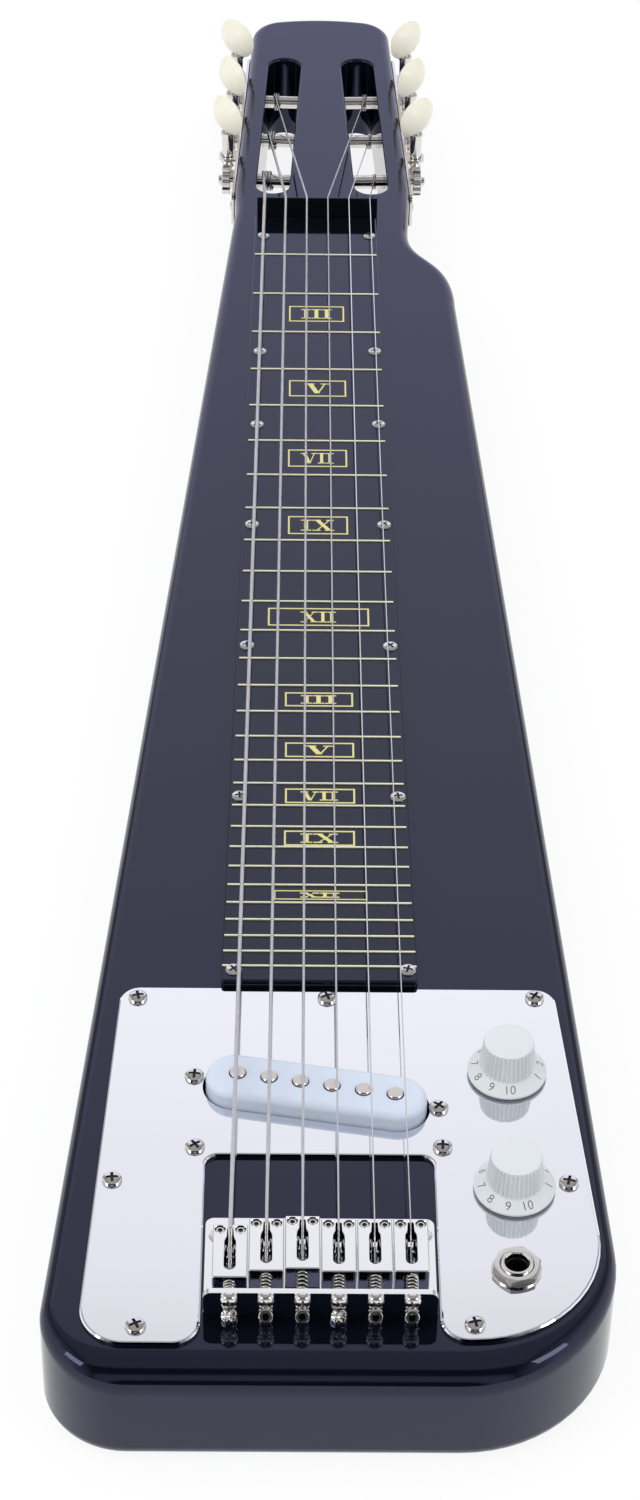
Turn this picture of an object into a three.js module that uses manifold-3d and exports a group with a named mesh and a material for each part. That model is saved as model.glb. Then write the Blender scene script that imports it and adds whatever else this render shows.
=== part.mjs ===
import * as THREE from 'three';
import { mergeVertices } from 'three/addons/utils/BufferGeometryUtils.js';
import Module from 'manifold-3d';

// Six string lap steel guitar. Millimetres, +Z up, +Y toward the headstock.
// Every piece is placed from the string line: x = 0 is the middle of the strings at the nut,
// y = 0 is the edge of the nut where the strings break, z = 0 is the flat underside.
// The last lines move the whole guitar so that the origin is under the middle of the body.

const wasm = await Module();
wasm.setup();

// Scale, strings and clearances
const seatGap = 0.05;
const runGap = 0.3;
const overrun = 2;
const stringCount = 6;
const nutSpread = 44.3;
const nutSpreadOffset = 0.5;
const saddlePitch = 10.4;
const saddleSetOffset = -0.35;
const stringDiameters = [1.35, 1.1, 0.86, 0.62, 0.46, 0.38];
const stringSides = 6;
const kinkGap = 0.1;
const ballDiameter = 3.8;
const ballLength = 3.4;

// Body and headstock outline
const bodyThickness = 38;
const bodyEdgeRadius = 6;
const buttY = -619.4;
const buttLeftX = -82.7;
const buttRightX = 88.7;
const buttLeftRadius = 25;
const buttRightRadius = 46;
const waistY = 12;
const waistLeftX = -34.5;
const shoulderX = 57.3;
const shoulderY = -60;
const shoulderNeckX = 39;
const shoulderNeckY = -2;
const shoulderHollow = 28;
const shoulderSwell = 39;
const hornSteps = 9;
const headLength = 184;
const headCentreX = 2.8;
const headNearY = 30;
const headNearHalfWidth = 37.8;
const headTaperDegrees = 2.55;
const headCornerRadius = 15;
const headCrown = 3;

// Headstock slots
const slotWidth = 14.3;
const slotSideWall = 9.3;
const slotNearY = 26;
const slotFarY = 145;

// Fretboard and nut
const boardThickness = 4;
const boardEndY = -465;
const boardNutWidth = 51;
const boardEndWidth = 62;
const boardOffset = -0.2;
const nutTopLength = 1;
const nutFootLength = 2.6;
const nutWidth = 50.6;
const nutRise = 8.7;

// Control plate
const plateThickness = 1.4;
const plateTopLeftX = -62.6;
const plateTopRightX = 73.6;
const plateLeftFootY = -609.2;
const plateRightFootY = -607.5;
const plateBottomLeftX = -69.7;
const plateBottomRightX = 84.4;
const plateCornerRadius = 6.5;
const plateLeftFootShare = 0.37;
const plateLeftInnerShare = 0.23;
const plateRightFootShare = 0.75;
const plateRightInnerShare = 0.16;
const bridgeBayTopY = -537;
const bridgeBayGap = 0.8;
const bridgeBayRadius = 4;

// Cavities under the control plate
const controlWellDepth = 30;
const controlWellLeftX = 43;
const controlWellRightX = 69.5;
const controlWellTopY = -488;
const controlWellBottomY = -593;
const controlWellRadius = 9;
const pickupWellDepth = 20;
const pickupWellMargin = 1.6;
const wireRunWidth = 10;
const wireRunDepth = 12;

// Pickup
const pickupX = -1.4;
const pickupY = -513;
const pickupDegrees = -10;
const coverLength = 68;
const coverWidth = 18;
const coverRise = 6;
const coverHeight = 13;
const coverWall = 1.2;
const coverEdgeRadius = 2.4;
const coverPlateGap = 0.5;
const polePitch = 9.7;
const poleDiameter = 4.8;
const poleRise = 0.8;
const poleLength = 17;
const coilClearance = 1.8;
const flatworkLength = 85;
const flatworkWidth = 20;
const flatworkThickness = 2.4;

// Knobs and pots
const volumeY = -502.4;
const toneY = -549.7;
const controlX = 57.2;
const knobSkirtDiameter = 24.3;
const knobSkirtThickness = 3.2;
const knobGripDiameter = 17.2;
const knobTopDiameter = 15.4;
const knobHeight = 13.4;
const knobLift = 0.8;
const knobBoreDepth = 10;
const knobHollowDiameter = 12;
const knobHollowDepth = 5.6;
const potDiameter = 16.4;
const potDepth = 8;
const bushDiameter = 7;
const bushRise = 4.2;
const shaftDiameter = 6;
const shaftSeatDepth = 4;

// Output jack
const jackX = 56.3;
const jackY = -581.4;
const jackBoreDiameter = 6.9;
const jackBushDiameter = 9.4;
const jackBushRise = 3.6;
const jackBarrelDiameter = 14;
const jackBarrelDepth = 25;
const jackFloor = 1.5;
const jackNutAcross = 12.7;
const jackNutHeight = 2.2;
const jackWasherDiameter = 14.6;
const jackWasherThickness = 0.6;
const threadGap = 0.1;
const turnGap = 0.15;

// Bridge
const bridgeWidth = 66.8;
const bridgeOffset = -0.4;
const bridgeFarY = -562.4;
const bridgeRearY = -598.8;
const bridgeThickness = 1.8;
const bridgeWallHeight = 11;
const bridgeCornerRadius = 2.5;
const stringHoleDiameter = 2.4;
const stringHoleRise = 1.3;
const screwRise = 7.1;
const screwHoleDiameter = 3;

// Saddles, their screws and springs
const saddleLength = 20;
const saddleWidth = 10.1;
const saddleTopRise = 9.4;
const saddleBottomRise = 1;
const saddleSetback = [10.7, 8.2, 7.3, 8.4, 8.3, 8.2];
const saddleSlotWidth = 3;
const saddleLip = 3;
const saddleRearWall = 3;
const saddleUndercutRise = 5.3;
const grubDiameter = 2.8;
const grubInset = 2.1;
const screwDiameter = 2.4;
const screwTip = 1.5;
const screwHeadDiameter = 4.8;
const screwHeadLength = 2.2;
const screwHeadFlatShare = 0.7;
const screwSlotWidth = 0.7;
const screwSlotDepth = 0.7;
const springWire = 0.4;
const springRadius = 1.9;
const springCurls = 3;
const springLeastGap = 0.45;
const springSides = 5;
const springSteps = 8;

// Tuners
const tunerPitch = 35.3;
const tunerMiddleY = 90;
const tunerHeadDrop = 11.2;
const tunerPlateEnd = 26.7;
const tunerPlateHeight = 16;
const tunerPlateThickness = 1.2;
const rollerDiameter = 6;
const rollerHoleGap = 0.4;
const rollerWebDepth = 5;
const gearStandOff = 3.2;
const gearThickness = 3.6;
const gearDiameter = 12.8;
const gearMeshGap = 0.4;
const gearToothHeight = 1.1;
const gearTeeth = 12;
const gearHubDiameter = 8;
const gearScrewDiameter = 3.6;
const gearScrewRise = 1.8;
const wormDiameter = 5.6;
const wormCoreDiameter = 4.2;
const wormLength = 10.5;
const wormThreads = 3;
const earThickness = 1.3;
const earWidth = 8;
const earReach = 7.6;
const wormPinDiameter = 3.2;
const stemDiameter = 5;
const tangDiameter = 3.2;
const tangLength = 9;
const buttonRise = 15.3;
const buttonHeight = 17.2;
const buttonWidth = 18.6;
const buttonThickness = 9;
const buttonSeatDrop = 0.6;
const buttonTurnDegrees = [48, 52, 40, 44, 50, 42];
const windingInsets = [1.8, 2.2, 3, 3.6, 3.4, 3.6];
const windingLoops = 1.5;
const windingSteps = 24;
const windingLeastGap = 0.45;

// Colours, roughness and metalness of each finish
const finishes = {
  lacquer: [0x262a35, 0.12, 0.0],
  board: [0x2b2d38, 0.35, 0.0],
  nutBlack: [0x0e1015, 0.3, 0.0],
  mirror: [0xe9e9ee, 0.06, 1.0],
  chrome: [0xd4d6dc, 0.1, 1.0],
  nickel: [0xb9b3ab, 0.25, 1.0],
  steelString: [0xc6c4c0, 0.3, 1.0],
  ice: [0xd0dceb, 0.3, 0.0],
  darkCore: [0x1b1c20, 0.6, 0.0],
  mint: [0xe4ecec, 0.3, 0.0],
  cream: [0xe8e8d6, 0.35, 0.0],
  brass: [0xc2a35a, 0.35, 1.0],
};

// Boolean joins and cuts on closed meshes
function toSolid(geometry) {
  const bare = geometry.clone();
  bare.deleteAttribute('normal');
  bare.deleteAttribute('uv');
  const merged = mergeVertices(bare);
  const vertProperties = new Float32Array(merged.attributes.position.array);
  const triVerts = new Uint32Array(merged.index.array);
  return new wasm.Manifold(new wasm.Mesh({ numProp: 3, vertProperties, triVerts }));
}

function toGeometry(solid) {
  const mesh = solid.getMesh();
  const geometry = new THREE.BufferGeometry();
  geometry.setAttribute('position', new THREE.BufferAttribute(mesh.vertProperties, 3));
  geometry.setIndex(new THREE.BufferAttribute(mesh.triVerts, 1));
  geometry.computeVertexNormals();
  return geometry;
}

function join(...geometries) {
  return toGeometry(geometries.map(toSolid).reduce((whole, next) => whole.add(next)));
}

function cut(geometry, cutters) {
  return toGeometry(cutters.map(toSolid).reduce((whole, next) => whole.subtract(next), toSolid(geometry)));
}

// Plain geometry pieces, each with its axis or base where it is stated
function box(x0, x1, y0, y1, z0, z1) {
  const geometry = new THREE.BoxGeometry(x1 - x0, y1 - y0, z1 - z0);
  geometry.translate((x0 + x1) / 2, (y0 + y1) / 2, (z0 + z1) / 2);
  return geometry;
}

function post(radius, z0, z1, sides) {
  const geometry = new THREE.CylinderGeometry(radius, radius, z1 - z0, sides);
  geometry.rotateX(Math.PI / 2);
  geometry.translate(0, 0, (z0 + z1) / 2);
  return geometry;
}

function turned(profile, sides) {
  const points = profile.map(([radius, height]) => new THREE.Vector2(radius, height));
  const geometry = new THREE.LatheGeometry(points, sides);
  geometry.rotateX(Math.PI / 2);
  return geometry;
}

function slab(shape, z0, z1, curveSegments = 3) {
  const geometry = new THREE.ExtrudeGeometry(shape, { depth: z1 - z0, bevelEnabled: false, curveSegments });
  geometry.translate(0, 0, z0);
  return geometry;
}

function roundedSlab(shape, z0, z1, edgeRadius, bevelSegments, curveSegments) {
  const geometry = new THREE.ExtrudeGeometry(shape, {
    depth: z1 - z0 - 2 * edgeRadius,
    bevelThickness: edgeRadius,
    bevelSize: edgeRadius,
    bevelOffset: -edgeRadius,
    bevelSegments,
    curveSegments,
  });
  geometry.translate(0, 0, z0 + edgeRadius);
  return geometry;
}

function moved(geometry, x, y, z = 0) {
  return geometry.translate(x, y, z);
}

// A fillet of one corner: its tangent points, centre and arc angles
function fillet(before, corner, after, radius) {
  const back = before.clone().sub(corner).normalize();
  const ahead = after.clone().sub(corner).normalize();
  const half = Math.acos(back.dot(ahead)) / 2;
  const start = corner.clone().addScaledVector(back, radius / Math.tan(half));
  const end = corner.clone().addScaledVector(ahead, radius / Math.tan(half));
  const bisector = back.clone().add(ahead).normalize();
  const centre = corner.clone().addScaledVector(bisector, radius / Math.sin(half));
  const clockwise = back.cross(ahead) > 0;
  const from = Math.atan2(start.y - centre.y, start.x - centre.x);
  const to = Math.atan2(end.y - centre.y, end.x - centre.x);
  return { start, end, centre, radius, from, to, clockwise };
}

function turn(path, arc) {
  path.lineTo(arc.start.x, arc.start.y);
  path.absarc(arc.centre.x, arc.centre.y, arc.radius, arc.from, arc.to, arc.clockwise);
}

// A closed outline from corners [x, y, radius]; radius zero is a sharp corner
function outline(corners) {
  const places = corners.map(([x, y]) => new THREE.Vector2(x, y));
  const shape = new THREE.Shape();
  corners.forEach(([x, y, radius], index) => {
    const before = places.at(index - 1);
    const after = places[(index + 1) % places.length];
    const arc = radius > 0 ? fillet(before, places[index], after, radius) : null;
    const first = arc ? arc.start : places[index];
    if (index === 0) shape.moveTo(first.x, first.y);
    if (arc) turn(shape, arc);
    else shape.lineTo(x, y);
  });
  return shape;
}

function stadium(length, width) {
  const x = length / 2;
  const y = width / 2;
  return outline([[-x, -y, y], [x, -y, y], [x, y, y], [-x, y, y]]);
}

// Round tubes along hand-placed or computed points, closed by a fan at each end
function tube(points, radius, sides) {
  const position = [];
  const index = [];
  let normal = new THREE.Vector3(0, 0, 1);
  points.forEach((point, step) => {
    const before = points[Math.max(step - 1, 0)];
    const after = points[Math.min(step + 1, points.length - 1)];
    const tangent = after.clone().sub(before).normalize();
    if (Math.abs(tangent.dot(normal)) > 0.99) normal = new THREE.Vector3(1, 0, 0);
    normal = normal.clone().addScaledVector(tangent, -tangent.dot(normal)).normalize();
    const side = tangent.clone().cross(normal);
    for (let corner = 0; corner < sides; corner += 1) {
      const angle = (corner / sides) * 2 * Math.PI;
      const place = point.clone();
      place.addScaledVector(normal, radius * Math.cos(angle));
      place.addScaledVector(side, radius * Math.sin(angle));
      position.push(place.x, place.y, place.z);
    }
  });
  for (let ring = 0; ring + 1 < points.length; ring += 1) {
    for (let corner = 0; corner < sides; corner += 1) {
      const a = ring * sides + corner;
      const b = ring * sides + ((corner + 1) % sides);
      index.push(a, b, b + sides, a, b + sides, a + sides);
    }
  }
  const first = points.length * sides;
  const last = first - sides;
  for (const end of [points[0], points.at(-1)]) position.push(end.x, end.y, end.z);
  for (let corner = 0; corner < sides; corner += 1) {
    const next = (corner + 1) % sides;
    index.push(first, next, corner);
    index.push(first + 1, last + corner, last + next);
  }
  const geometry = new THREE.BufferGeometry();
  geometry.setAttribute('position', new THREE.Float32BufferAttribute(position, 3));
  geometry.setIndex(index);
  geometry.computeVertexNormals();
  return geometry;
}

// The least gap of a wound tube to itself, between points over half a turn apart
function reportLeastGap(name, points, stepsPerTurn, diameter) {
  let least = Infinity;
  points.forEach((point, step) => {
    for (const other of points.slice(step + Math.ceil(stepsPerTurn / 2) + 1)) {
      least = Math.min(least, point.distanceTo(other) - diameter);
    }
  });
  console.log(`${name}: least gap to itself ${least.toFixed(2)} mm`);
}

// Levels that the pieces share
const bodyTop = bodyThickness;
const seatZ = bodyTop + seatGap;
const boardTop = seatZ + boardThickness;
const nutTop = boardTop + nutRise;
const plateTop = seatZ + plateThickness;
const bridgeTop = seatZ + bridgeThickness;
const saddleTop = bridgeTop + saddleTopRise;
const rollerZ = bodyTop - tunerHeadDrop;
const pickupTop = plateTop + coverRise;
const underPlate = seatZ - seatGap;

// Headstock sides
const taper = THREE.MathUtils.degToRad(headTaperDegrees);

function headHalfWidth(y) {
  return headNearHalfWidth - (y - headNearY) * Math.tan(taper);
}

function headPoint(side, y) {
  return new THREE.Vector2(headCentreX + side * headHalfWidth(y), y);
}

// Tuners: a frame on each side of the headstock, with x pointing outward times its side
const tunerSides = [-1, 1];
const gearMiddle = gearStandOff + gearThickness / 2;
const wormOffset = (gearDiameter + wormDiameter) / 2 + gearMeshGap;
const rollerInner = -(slotSideWall + slotWidth + rollerWebDepth);
const tuners = [
  { side: -1, row: -1 },
  { side: -1, row: 0 },
  { side: -1, row: 1 },
  { side: 1, row: 1 },
  { side: 1, row: 0 },
  { side: 1, row: -1 },
];

function toSideFrame(geometry, side) {
  const base = headPoint(side, tunerMiddleY);
  return geometry.rotateZ(side * taper).translate(base.x, base.y, 0);
}

function sidePoint(side, outward, along, z) {
  const base = headPoint(side, tunerMiddleY);
  const local = new THREE.Vector3(side * outward, along, z);
  local.applyAxisAngle(new THREE.Vector3(0, 0, 1), side * taper);
  return local.add(new THREE.Vector3(base.x, base.y, 0));
}

function acrossPost(side, radius, from, to, along, sides) {
  const geometry = new THREE.CylinderGeometry(radius, radius, to - from, sides);
  geometry.rotateZ(Math.PI / 2);
  geometry.translate((side * (from + to)) / 2, along, rollerZ);
  return geometry;
}

// Strings across the instrument
function nutX(index) {
  return nutSpreadOffset + (index / (stringCount - 1) - 0.5) * nutSpread;
}

function saddleX(index) {
  return saddleSetOffset + (index - (stringCount - 1) / 2) * saddlePitch;
}

// Body and headstock: one slab with rounded edges, its slots, roller holes and wells
function bodyOutline() {
  const waist = new THREE.Vector2(waistLeftX, waistY);
  const buttLeft = new THREE.Vector2(buttLeftX, buttY);
  const buttRight = new THREE.Vector2(buttRightX, buttY);
  const shoulder = new THREE.Vector2(shoulderX, shoulderY);
  const cornerY = headLength - headCrown;
  const crown = new THREE.Vector2(headCentreX, headLength + headCrown);
  const farRight = fillet(headPoint(1, headNearY), headPoint(1, cornerY), crown, headCornerRadius);
  const farLeft = fillet(crown, headPoint(-1, cornerY), headPoint(-1, headNearY), headCornerRadius);
  const shape = new THREE.Shape();
  shape.moveTo(waist.x, waist.y);
  turn(shape, fillet(waist, buttLeft, buttRight, buttLeftRadius));
  turn(shape, fillet(buttLeft, buttRight, shoulder, buttRightRadius));
  const neck = new THREE.Vector2(shoulderNeckX, shoulderNeckY);
  const swell = new THREE.Vector2(shoulderX, shoulderY + shoulderSwell);
  const hollow = new THREE.Vector2(shoulderNeckX, shoulderNeckY - shoulderHollow);
  const horn = new THREE.CubicBezierCurve(shoulder, swell, hollow, neck);
  for (const point of horn.getPoints(hornSteps)) shape.lineTo(point.x, point.y);
  shape.lineTo(headPoint(1, headNearY).x, headNearY);
  turn(shape, farRight);
  const { start, centre, radius, from, to, clockwise } = farLeft;
  shape.quadraticCurveTo(crown.x, crown.y, start.x, start.y);
  shape.absarc(centre.x, centre.y, radius, from, to, clockwise);
  shape.lineTo(headPoint(-1, headNearY).x, headNearY);
  shape.closePath();
  return shape;
}

function headSlots() {
  return tunerSides.map((side) => {
    const length = slotFarY - slotNearY;
    const shape = stadium(length, slotWidth);
    const cutter = slab(shape, -overrun, bodyTop + overrun);
    cutter.rotateZ(Math.PI / 2);
    const inset = slotSideWall + slotWidth / 2;
    const middle = (slotFarY + slotNearY) / 2 - tunerMiddleY;
    return toSideFrame(cutter.translate(-side * inset, middle, 0), side);
  });
}

function rollerHoles() {
  return tuners.map(({ side, row }) => {
    const radius = rollerDiameter / 2 + rollerHoleGap;
    const hole = acrossPost(side, radius, rollerInner - rollerHoleGap, overrun, row * tunerPitch, 10);
    return toSideFrame(hole, side);
  });
}

function pickupPlace(geometry) {
  return geometry.rotateZ(THREE.MathUtils.degToRad(pickupDegrees)).translate(pickupX, pickupY, 0);
}

function wells() {
  const control = outline([
    [controlWellLeftX, controlWellBottomY, controlWellRadius],
    [controlWellRightX, controlWellBottomY, controlWellRadius],
    [controlWellRightX, controlWellTopY, controlWellRadius],
    [controlWellLeftX, controlWellTopY, controlWellRadius],
  ]);
  const pickup = stadium(flatworkLength + 2 * pickupWellMargin, flatworkWidth + 2 * pickupWellMargin);
  const runX = pickupX + flatworkLength / 2 - wireRunWidth;
  const runY = pickupY + Math.tan(THREE.MathUtils.degToRad(pickupDegrees)) * (runX - pickupX);
  return [
    slab(control, bodyTop - controlWellDepth, bodyTop + overrun),
    pickupPlace(slab(pickup, bodyTop - pickupWellDepth, bodyTop + overrun)),
    box(
      runX,
      controlWellLeftX + overrun,
      runY - wireRunWidth / 2,
      runY + wireRunWidth / 2,
      bodyTop - wireRunDepth,
      bodyTop + overrun,
    ),
  ];
}

function bodyGeometry() {
  const whole = roundedSlab(bodyOutline(), 0, bodyTop, bodyEdgeRadius, 3, 4);
  return cut(whole, [...headSlots(), ...rollerHoles(), ...wells()]);
}

// Fretboard and nut
function fretboardGeometry() {
  const nearY = -nutTopLength - seatGap;
  return slab(
    outline([
      [boardOffset - boardEndWidth / 2, boardEndY, 0],
      [boardOffset + boardEndWidth / 2, boardEndY, 0],
      [boardOffset + boardNutWidth / 2, nearY, 0],
      [boardOffset - boardNutWidth / 2, nearY, 0],
    ]),
    seatZ,
    boardTop,
  );
}

function nutGeometry() {
  const left = nutSpreadOffset - nutWidth / 2;
  const section = outline([
    [-nutTopLength, seatZ, 0],
    [nutFootLength, seatZ, 0],
    [0, nutTop, 0],
    [-nutTopLength, nutTop, 0],
  ]);
  const across = new THREE.Matrix4().makeBasis(
    new THREE.Vector3(0, 1, 0),
    new THREE.Vector3(0, 0, 1),
    new THREE.Vector3(1, 0, 0),
  );
  return slab(section, left, left + nutWidth).applyMatrix4(across);
}

// Control plate with its bridge bay and holes
function controlPlateGeometry() {
  const topY = boardEndY - runGap;
  const bayHalfWidth = bridgeWidth / 2 + bridgeBayGap;
  const bayLeft = bridgeOffset - bayHalfWidth;
  const bayRight = bridgeOffset + bayHalfWidth;
  const leftFoot = bayLeft - plateBottomLeftX;
  const rightFoot = plateBottomRightX - bayRight;
  const shape = outline([
    [plateTopLeftX, topY, plateCornerRadius],
    [plateBottomLeftX, plateLeftFootY, leftFoot * plateLeftFootShare],
    [bayLeft, plateLeftFootY, leftFoot * plateLeftInnerShare],
    [bayLeft, bridgeBayTopY, bridgeBayRadius],
    [bayRight, bridgeBayTopY, bridgeBayRadius],
    [bayRight, plateRightFootY, rightFoot * plateRightInnerShare],
    [plateBottomRightX, plateRightFootY, rightFoot * plateRightFootShare],
    [plateTopRightX, topY, plateCornerRadius],
  ]);
  const low = seatZ - overrun;
  const high = plateTop + overrun;
  const opening = stadium(coverLength + 2 * coverPlateGap, coverWidth + 2 * coverPlateGap);
  const bushHole = bushDiameter / 2 + runGap;
  return cut(slab(shape, seatZ, plateTop, 4), [
    pickupPlace(slab(opening, low, high)),
    moved(post(bushHole, low, high, 16), controlX, volumeY),
    moved(post(bushHole, low, high, 16), controlX, toneY),
    moved(post(jackBushDiameter / 2 + runGap, low, high, 16), jackX, jackY),
  ]);
}

// Pickup cover and core
function poleX(index) {
  return (index - (stringCount - 1) / 2) * polePitch;
}

function pickupCoverGeometry() {
  const bottom = pickupTop - coverHeight;
  const outer = roundedSlab(stadium(coverLength, coverWidth), bottom, pickupTop, coverEdgeRadius, 2, 4);
  const skirt = slab(stadium(coverLength, coverWidth), bottom, bottom + 2 * coverEdgeRadius, 4);
  const inner = slab(
    stadium(coverLength - 2 * coverWall, coverWidth - 2 * coverWall),
    bottom - overrun,
    pickupTop - coverWall,
  );
  const holes = stringDiameters.map((_, index) =>
    moved(post(poleDiameter / 2 + turnGap, bottom, pickupTop + overrun, 10), poleX(index), 0),
  );
  return pickupPlace(cut(join(outer, skirt), [inner, ...holes]));
}

function pickupCoreGeometry() {
  const flatTop = pickupTop - coverHeight - runGap;
  const flatBottom = flatTop - flatworkThickness;
  const coilTop = pickupTop - coverWall - runGap;
  const flatwork = slab(stadium(flatworkLength, flatworkWidth), flatBottom, flatTop);
  const coilMargin = 2 * (coverWall + coilClearance);
  const coil = slab(stadium(coverLength - coilMargin, coverWidth - coilMargin), flatBottom, coilTop);
  const top = pickupTop + poleRise;
  const poles = stringDiameters.map((_, index) =>
    moved(post(poleDiameter / 2, top - poleLength, top, 10), poleX(index), 0),
  );
  return pickupPlace(join(flatwork, coil, ...poles));
}

// Knobs, pots and their shafts
const knobBottom = plateTop + knobLift;

function knobGeometry(y) {
  const bore = shaftDiameter / 2 + seatGap;
  const skirt = knobSkirtDiameter / 2;
  const profile = [
    [0, knobBoreDepth],
    [bore, knobBoreDepth],
    [bore, knobHollowDepth],
    [knobHollowDiameter / 2, knobHollowDepth],
    [knobHollowDiameter / 2, 0],
    [skirt, 0],
    [skirt, knobSkirtThickness / 3],
    [knobGripDiameter / 2, knobSkirtThickness],
    [knobTopDiameter / 2, knobHeight - (knobGripDiameter - knobTopDiameter) / 3],
    [knobTopDiameter / 2 - (knobGripDiameter - knobTopDiameter) / 3, knobHeight],
    [0, knobHeight],
  ];
  return moved(turned(profile, 20), controlX, y, knobBottom);
}

function potGeometry(y) {
  const top = underPlate - seatGap;
  const bushTop = plateTop + bushRise;
  const bore = shaftDiameter / 2 + turnGap;
  const profile = [
    [0, top - potDepth],
    [potDiameter / 2, top - potDepth],
    [potDiameter / 2, top],
    [bushDiameter / 2, top],
    [bushDiameter / 2, bushTop],
    [bore, bushTop],
    [bore, top - shaftSeatDepth],
    [0, top - shaftSeatDepth],
  ];
  return moved(turned(profile, 16), controlX, y);
}

function shaftGeometry(y) {
  const low = underPlate - shaftSeatDepth;
  const high = knobBottom + knobBoreDepth - runGap;
  return moved(post(shaftDiameter / 2, low, high, 16), controlX, y);
}

// Output jack, its washer and nut
function jackGeometry() {
  const top = underPlate - seatGap;
  const mouth = plateTop + jackBushRise;
  const bore = jackBoreDiameter / 2;
  const profile = [
    [0, top - jackBarrelDepth],
    [jackBarrelDiameter / 2, top - jackBarrelDepth],
    [jackBarrelDiameter / 2, top],
    [jackBushDiameter / 2, top],
    [jackBushDiameter / 2, mouth],
    [bore, mouth],
    [bore, top - jackBarrelDepth + jackFloor],
    [0, top - jackBarrelDepth + jackFloor],
  ];
  return moved(turned(profile, 16), jackX, jackY);
}

function jackWasherGeometry() {
  const low = plateTop + seatGap;
  const high = low + jackWasherThickness;
  const hole = post(jackBushDiameter / 2 + threadGap, low - overrun, high + overrun, 16);
  return moved(cut(post(jackWasherDiameter / 2, low, high, 16), [hole]), jackX, jackY);
}

function jackNutGeometry() {
  const low = plateTop + jackWasherThickness + 2 * seatGap;
  const high = low + jackNutHeight;
  const corner = jackNutAcross / 2 / Math.cos(Math.PI / 6);
  const hole = post(jackBushDiameter / 2 + threadGap, low - overrun, high + overrun, 16);
  return moved(cut(post(corner, low, high, 6), [hole]), jackX, jackY);
}

// Bridge: a flat base with a rear wall that the strings and screws pass through
const wallInnerY = bridgeRearY + bridgeThickness;
const stringHoleZ = bridgeTop + stringHoleRise;
const screwZ = bridgeTop + screwRise;

function throughWall(x, z, radius) {
  const hole = new THREE.CylinderGeometry(radius, radius, bridgeThickness + 2 * overrun, 8);
  return hole.translate(x, (bridgeRearY + wallInnerY) / 2, z);
}

function bridgeGeometry() {
  const left = bridgeOffset - bridgeWidth / 2;
  const right = bridgeOffset + bridgeWidth / 2;
  const base = slab(
    outline([
      [left, bridgeRearY, 0],
      [right, bridgeRearY, 0],
      [right, bridgeFarY, bridgeCornerRadius],
      [left, bridgeFarY, bridgeCornerRadius],
    ]),
    seatZ,
    bridgeTop,
    3,
  );
  const wall = slab(
    outline([
      [left, seatZ, 0],
      [right, seatZ, 0],
      [right, seatZ + bridgeWallHeight, bridgeCornerRadius],
      [left, seatZ + bridgeWallHeight, bridgeCornerRadius],
    ]),
    0,
    bridgeThickness,
    3,
  );
  wall.rotateX(Math.PI / 2).translate(0, wallInnerY, 0);
  const holes = stringDiameters.flatMap((_, index) => [
    throughWall(saddleX(index), stringHoleZ, stringHoleDiameter / 2),
    throughWall(saddleX(index), screwZ, screwHoleDiameter / 2),
  ]);
  return cut(join(base, wall), holes);
}

// Saddles: blocks with a long slot, a rear wall for the screw and two grub screw feet
function saddleFrontY(index) {
  return bridgeFarY - saddleSetback[index];
}

function saddleRearY(index) {
  return saddleFrontY(index) - saddleLength;
}

function saddleGeometry(index) {
  const x = saddleX(index);
  const front = saddleFrontY(index);
  const rear = saddleRearY(index);
  const bottom = bridgeTop + saddleBottomRise;
  const block = box(x - saddleWidth / 2, x + saddleWidth / 2, rear, front, bottom, saddleTop);
  const grubX = saddleWidth / 2 - grubInset;
  const footLow = bridgeTop + seatGap;
  const feet = tunerSides.map((side) =>
    moved(post(grubDiameter / 2, footLow, bottom + grubInset, 8), x + side * grubX, front - grubInset),
  );
  const half = saddleSlotWidth / 2;
  const slotRear = rear + saddleRearWall;
  const low = bottom - overrun;
  const slot = box(x - half, x + half, slotRear, front - saddleLip, low, saddleTop + overrun);
  const undercutTop = bridgeTop + saddleUndercutRise;
  const undercut = box(x - half, x + half, rear - overrun, slotRear + overrun, low, undercutTop);
  const holeRadius = screwHoleDiameter / 2;
  const screwHole = new THREE.CylinderGeometry(holeRadius, holeRadius, 2 * saddleRearWall, 8);
  screwHole.translate(x, rear + saddleRearWall / 2, screwZ);
  return cut(join(block, ...feet), [slot, undercut, screwHole]);
}

function intonationScrewGeometry(index) {
  const tipY = saddleRearY(index) + saddleRearWall + screwTip;
  const seatY = bridgeRearY - seatGap;
  const headRadius = screwHeadDiameter / 2;
  const shankRadius = screwDiameter / 2;
  const profile = [
    [0, 0],
    [headRadius * screwHeadFlatShare, 0],
    [headRadius, screwHeadLength / 3],
    [headRadius, screwHeadLength],
    [shankRadius, screwHeadLength],
    [shankRadius, screwHeadLength + tipY - seatY],
    [0, screwHeadLength + tipY - seatY],
  ];
  const half = screwSlotWidth / 2;
  const driveSlot = box(-headRadius, headRadius, -half, half, -overrun, screwSlotDepth);
  const geometry = cut(turned(profile, 8), [driveSlot]);
  geometry.rotateX(-Math.PI / 2);
  return geometry.translate(saddleX(index), seatY - screwHeadLength, screwZ);
}

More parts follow.
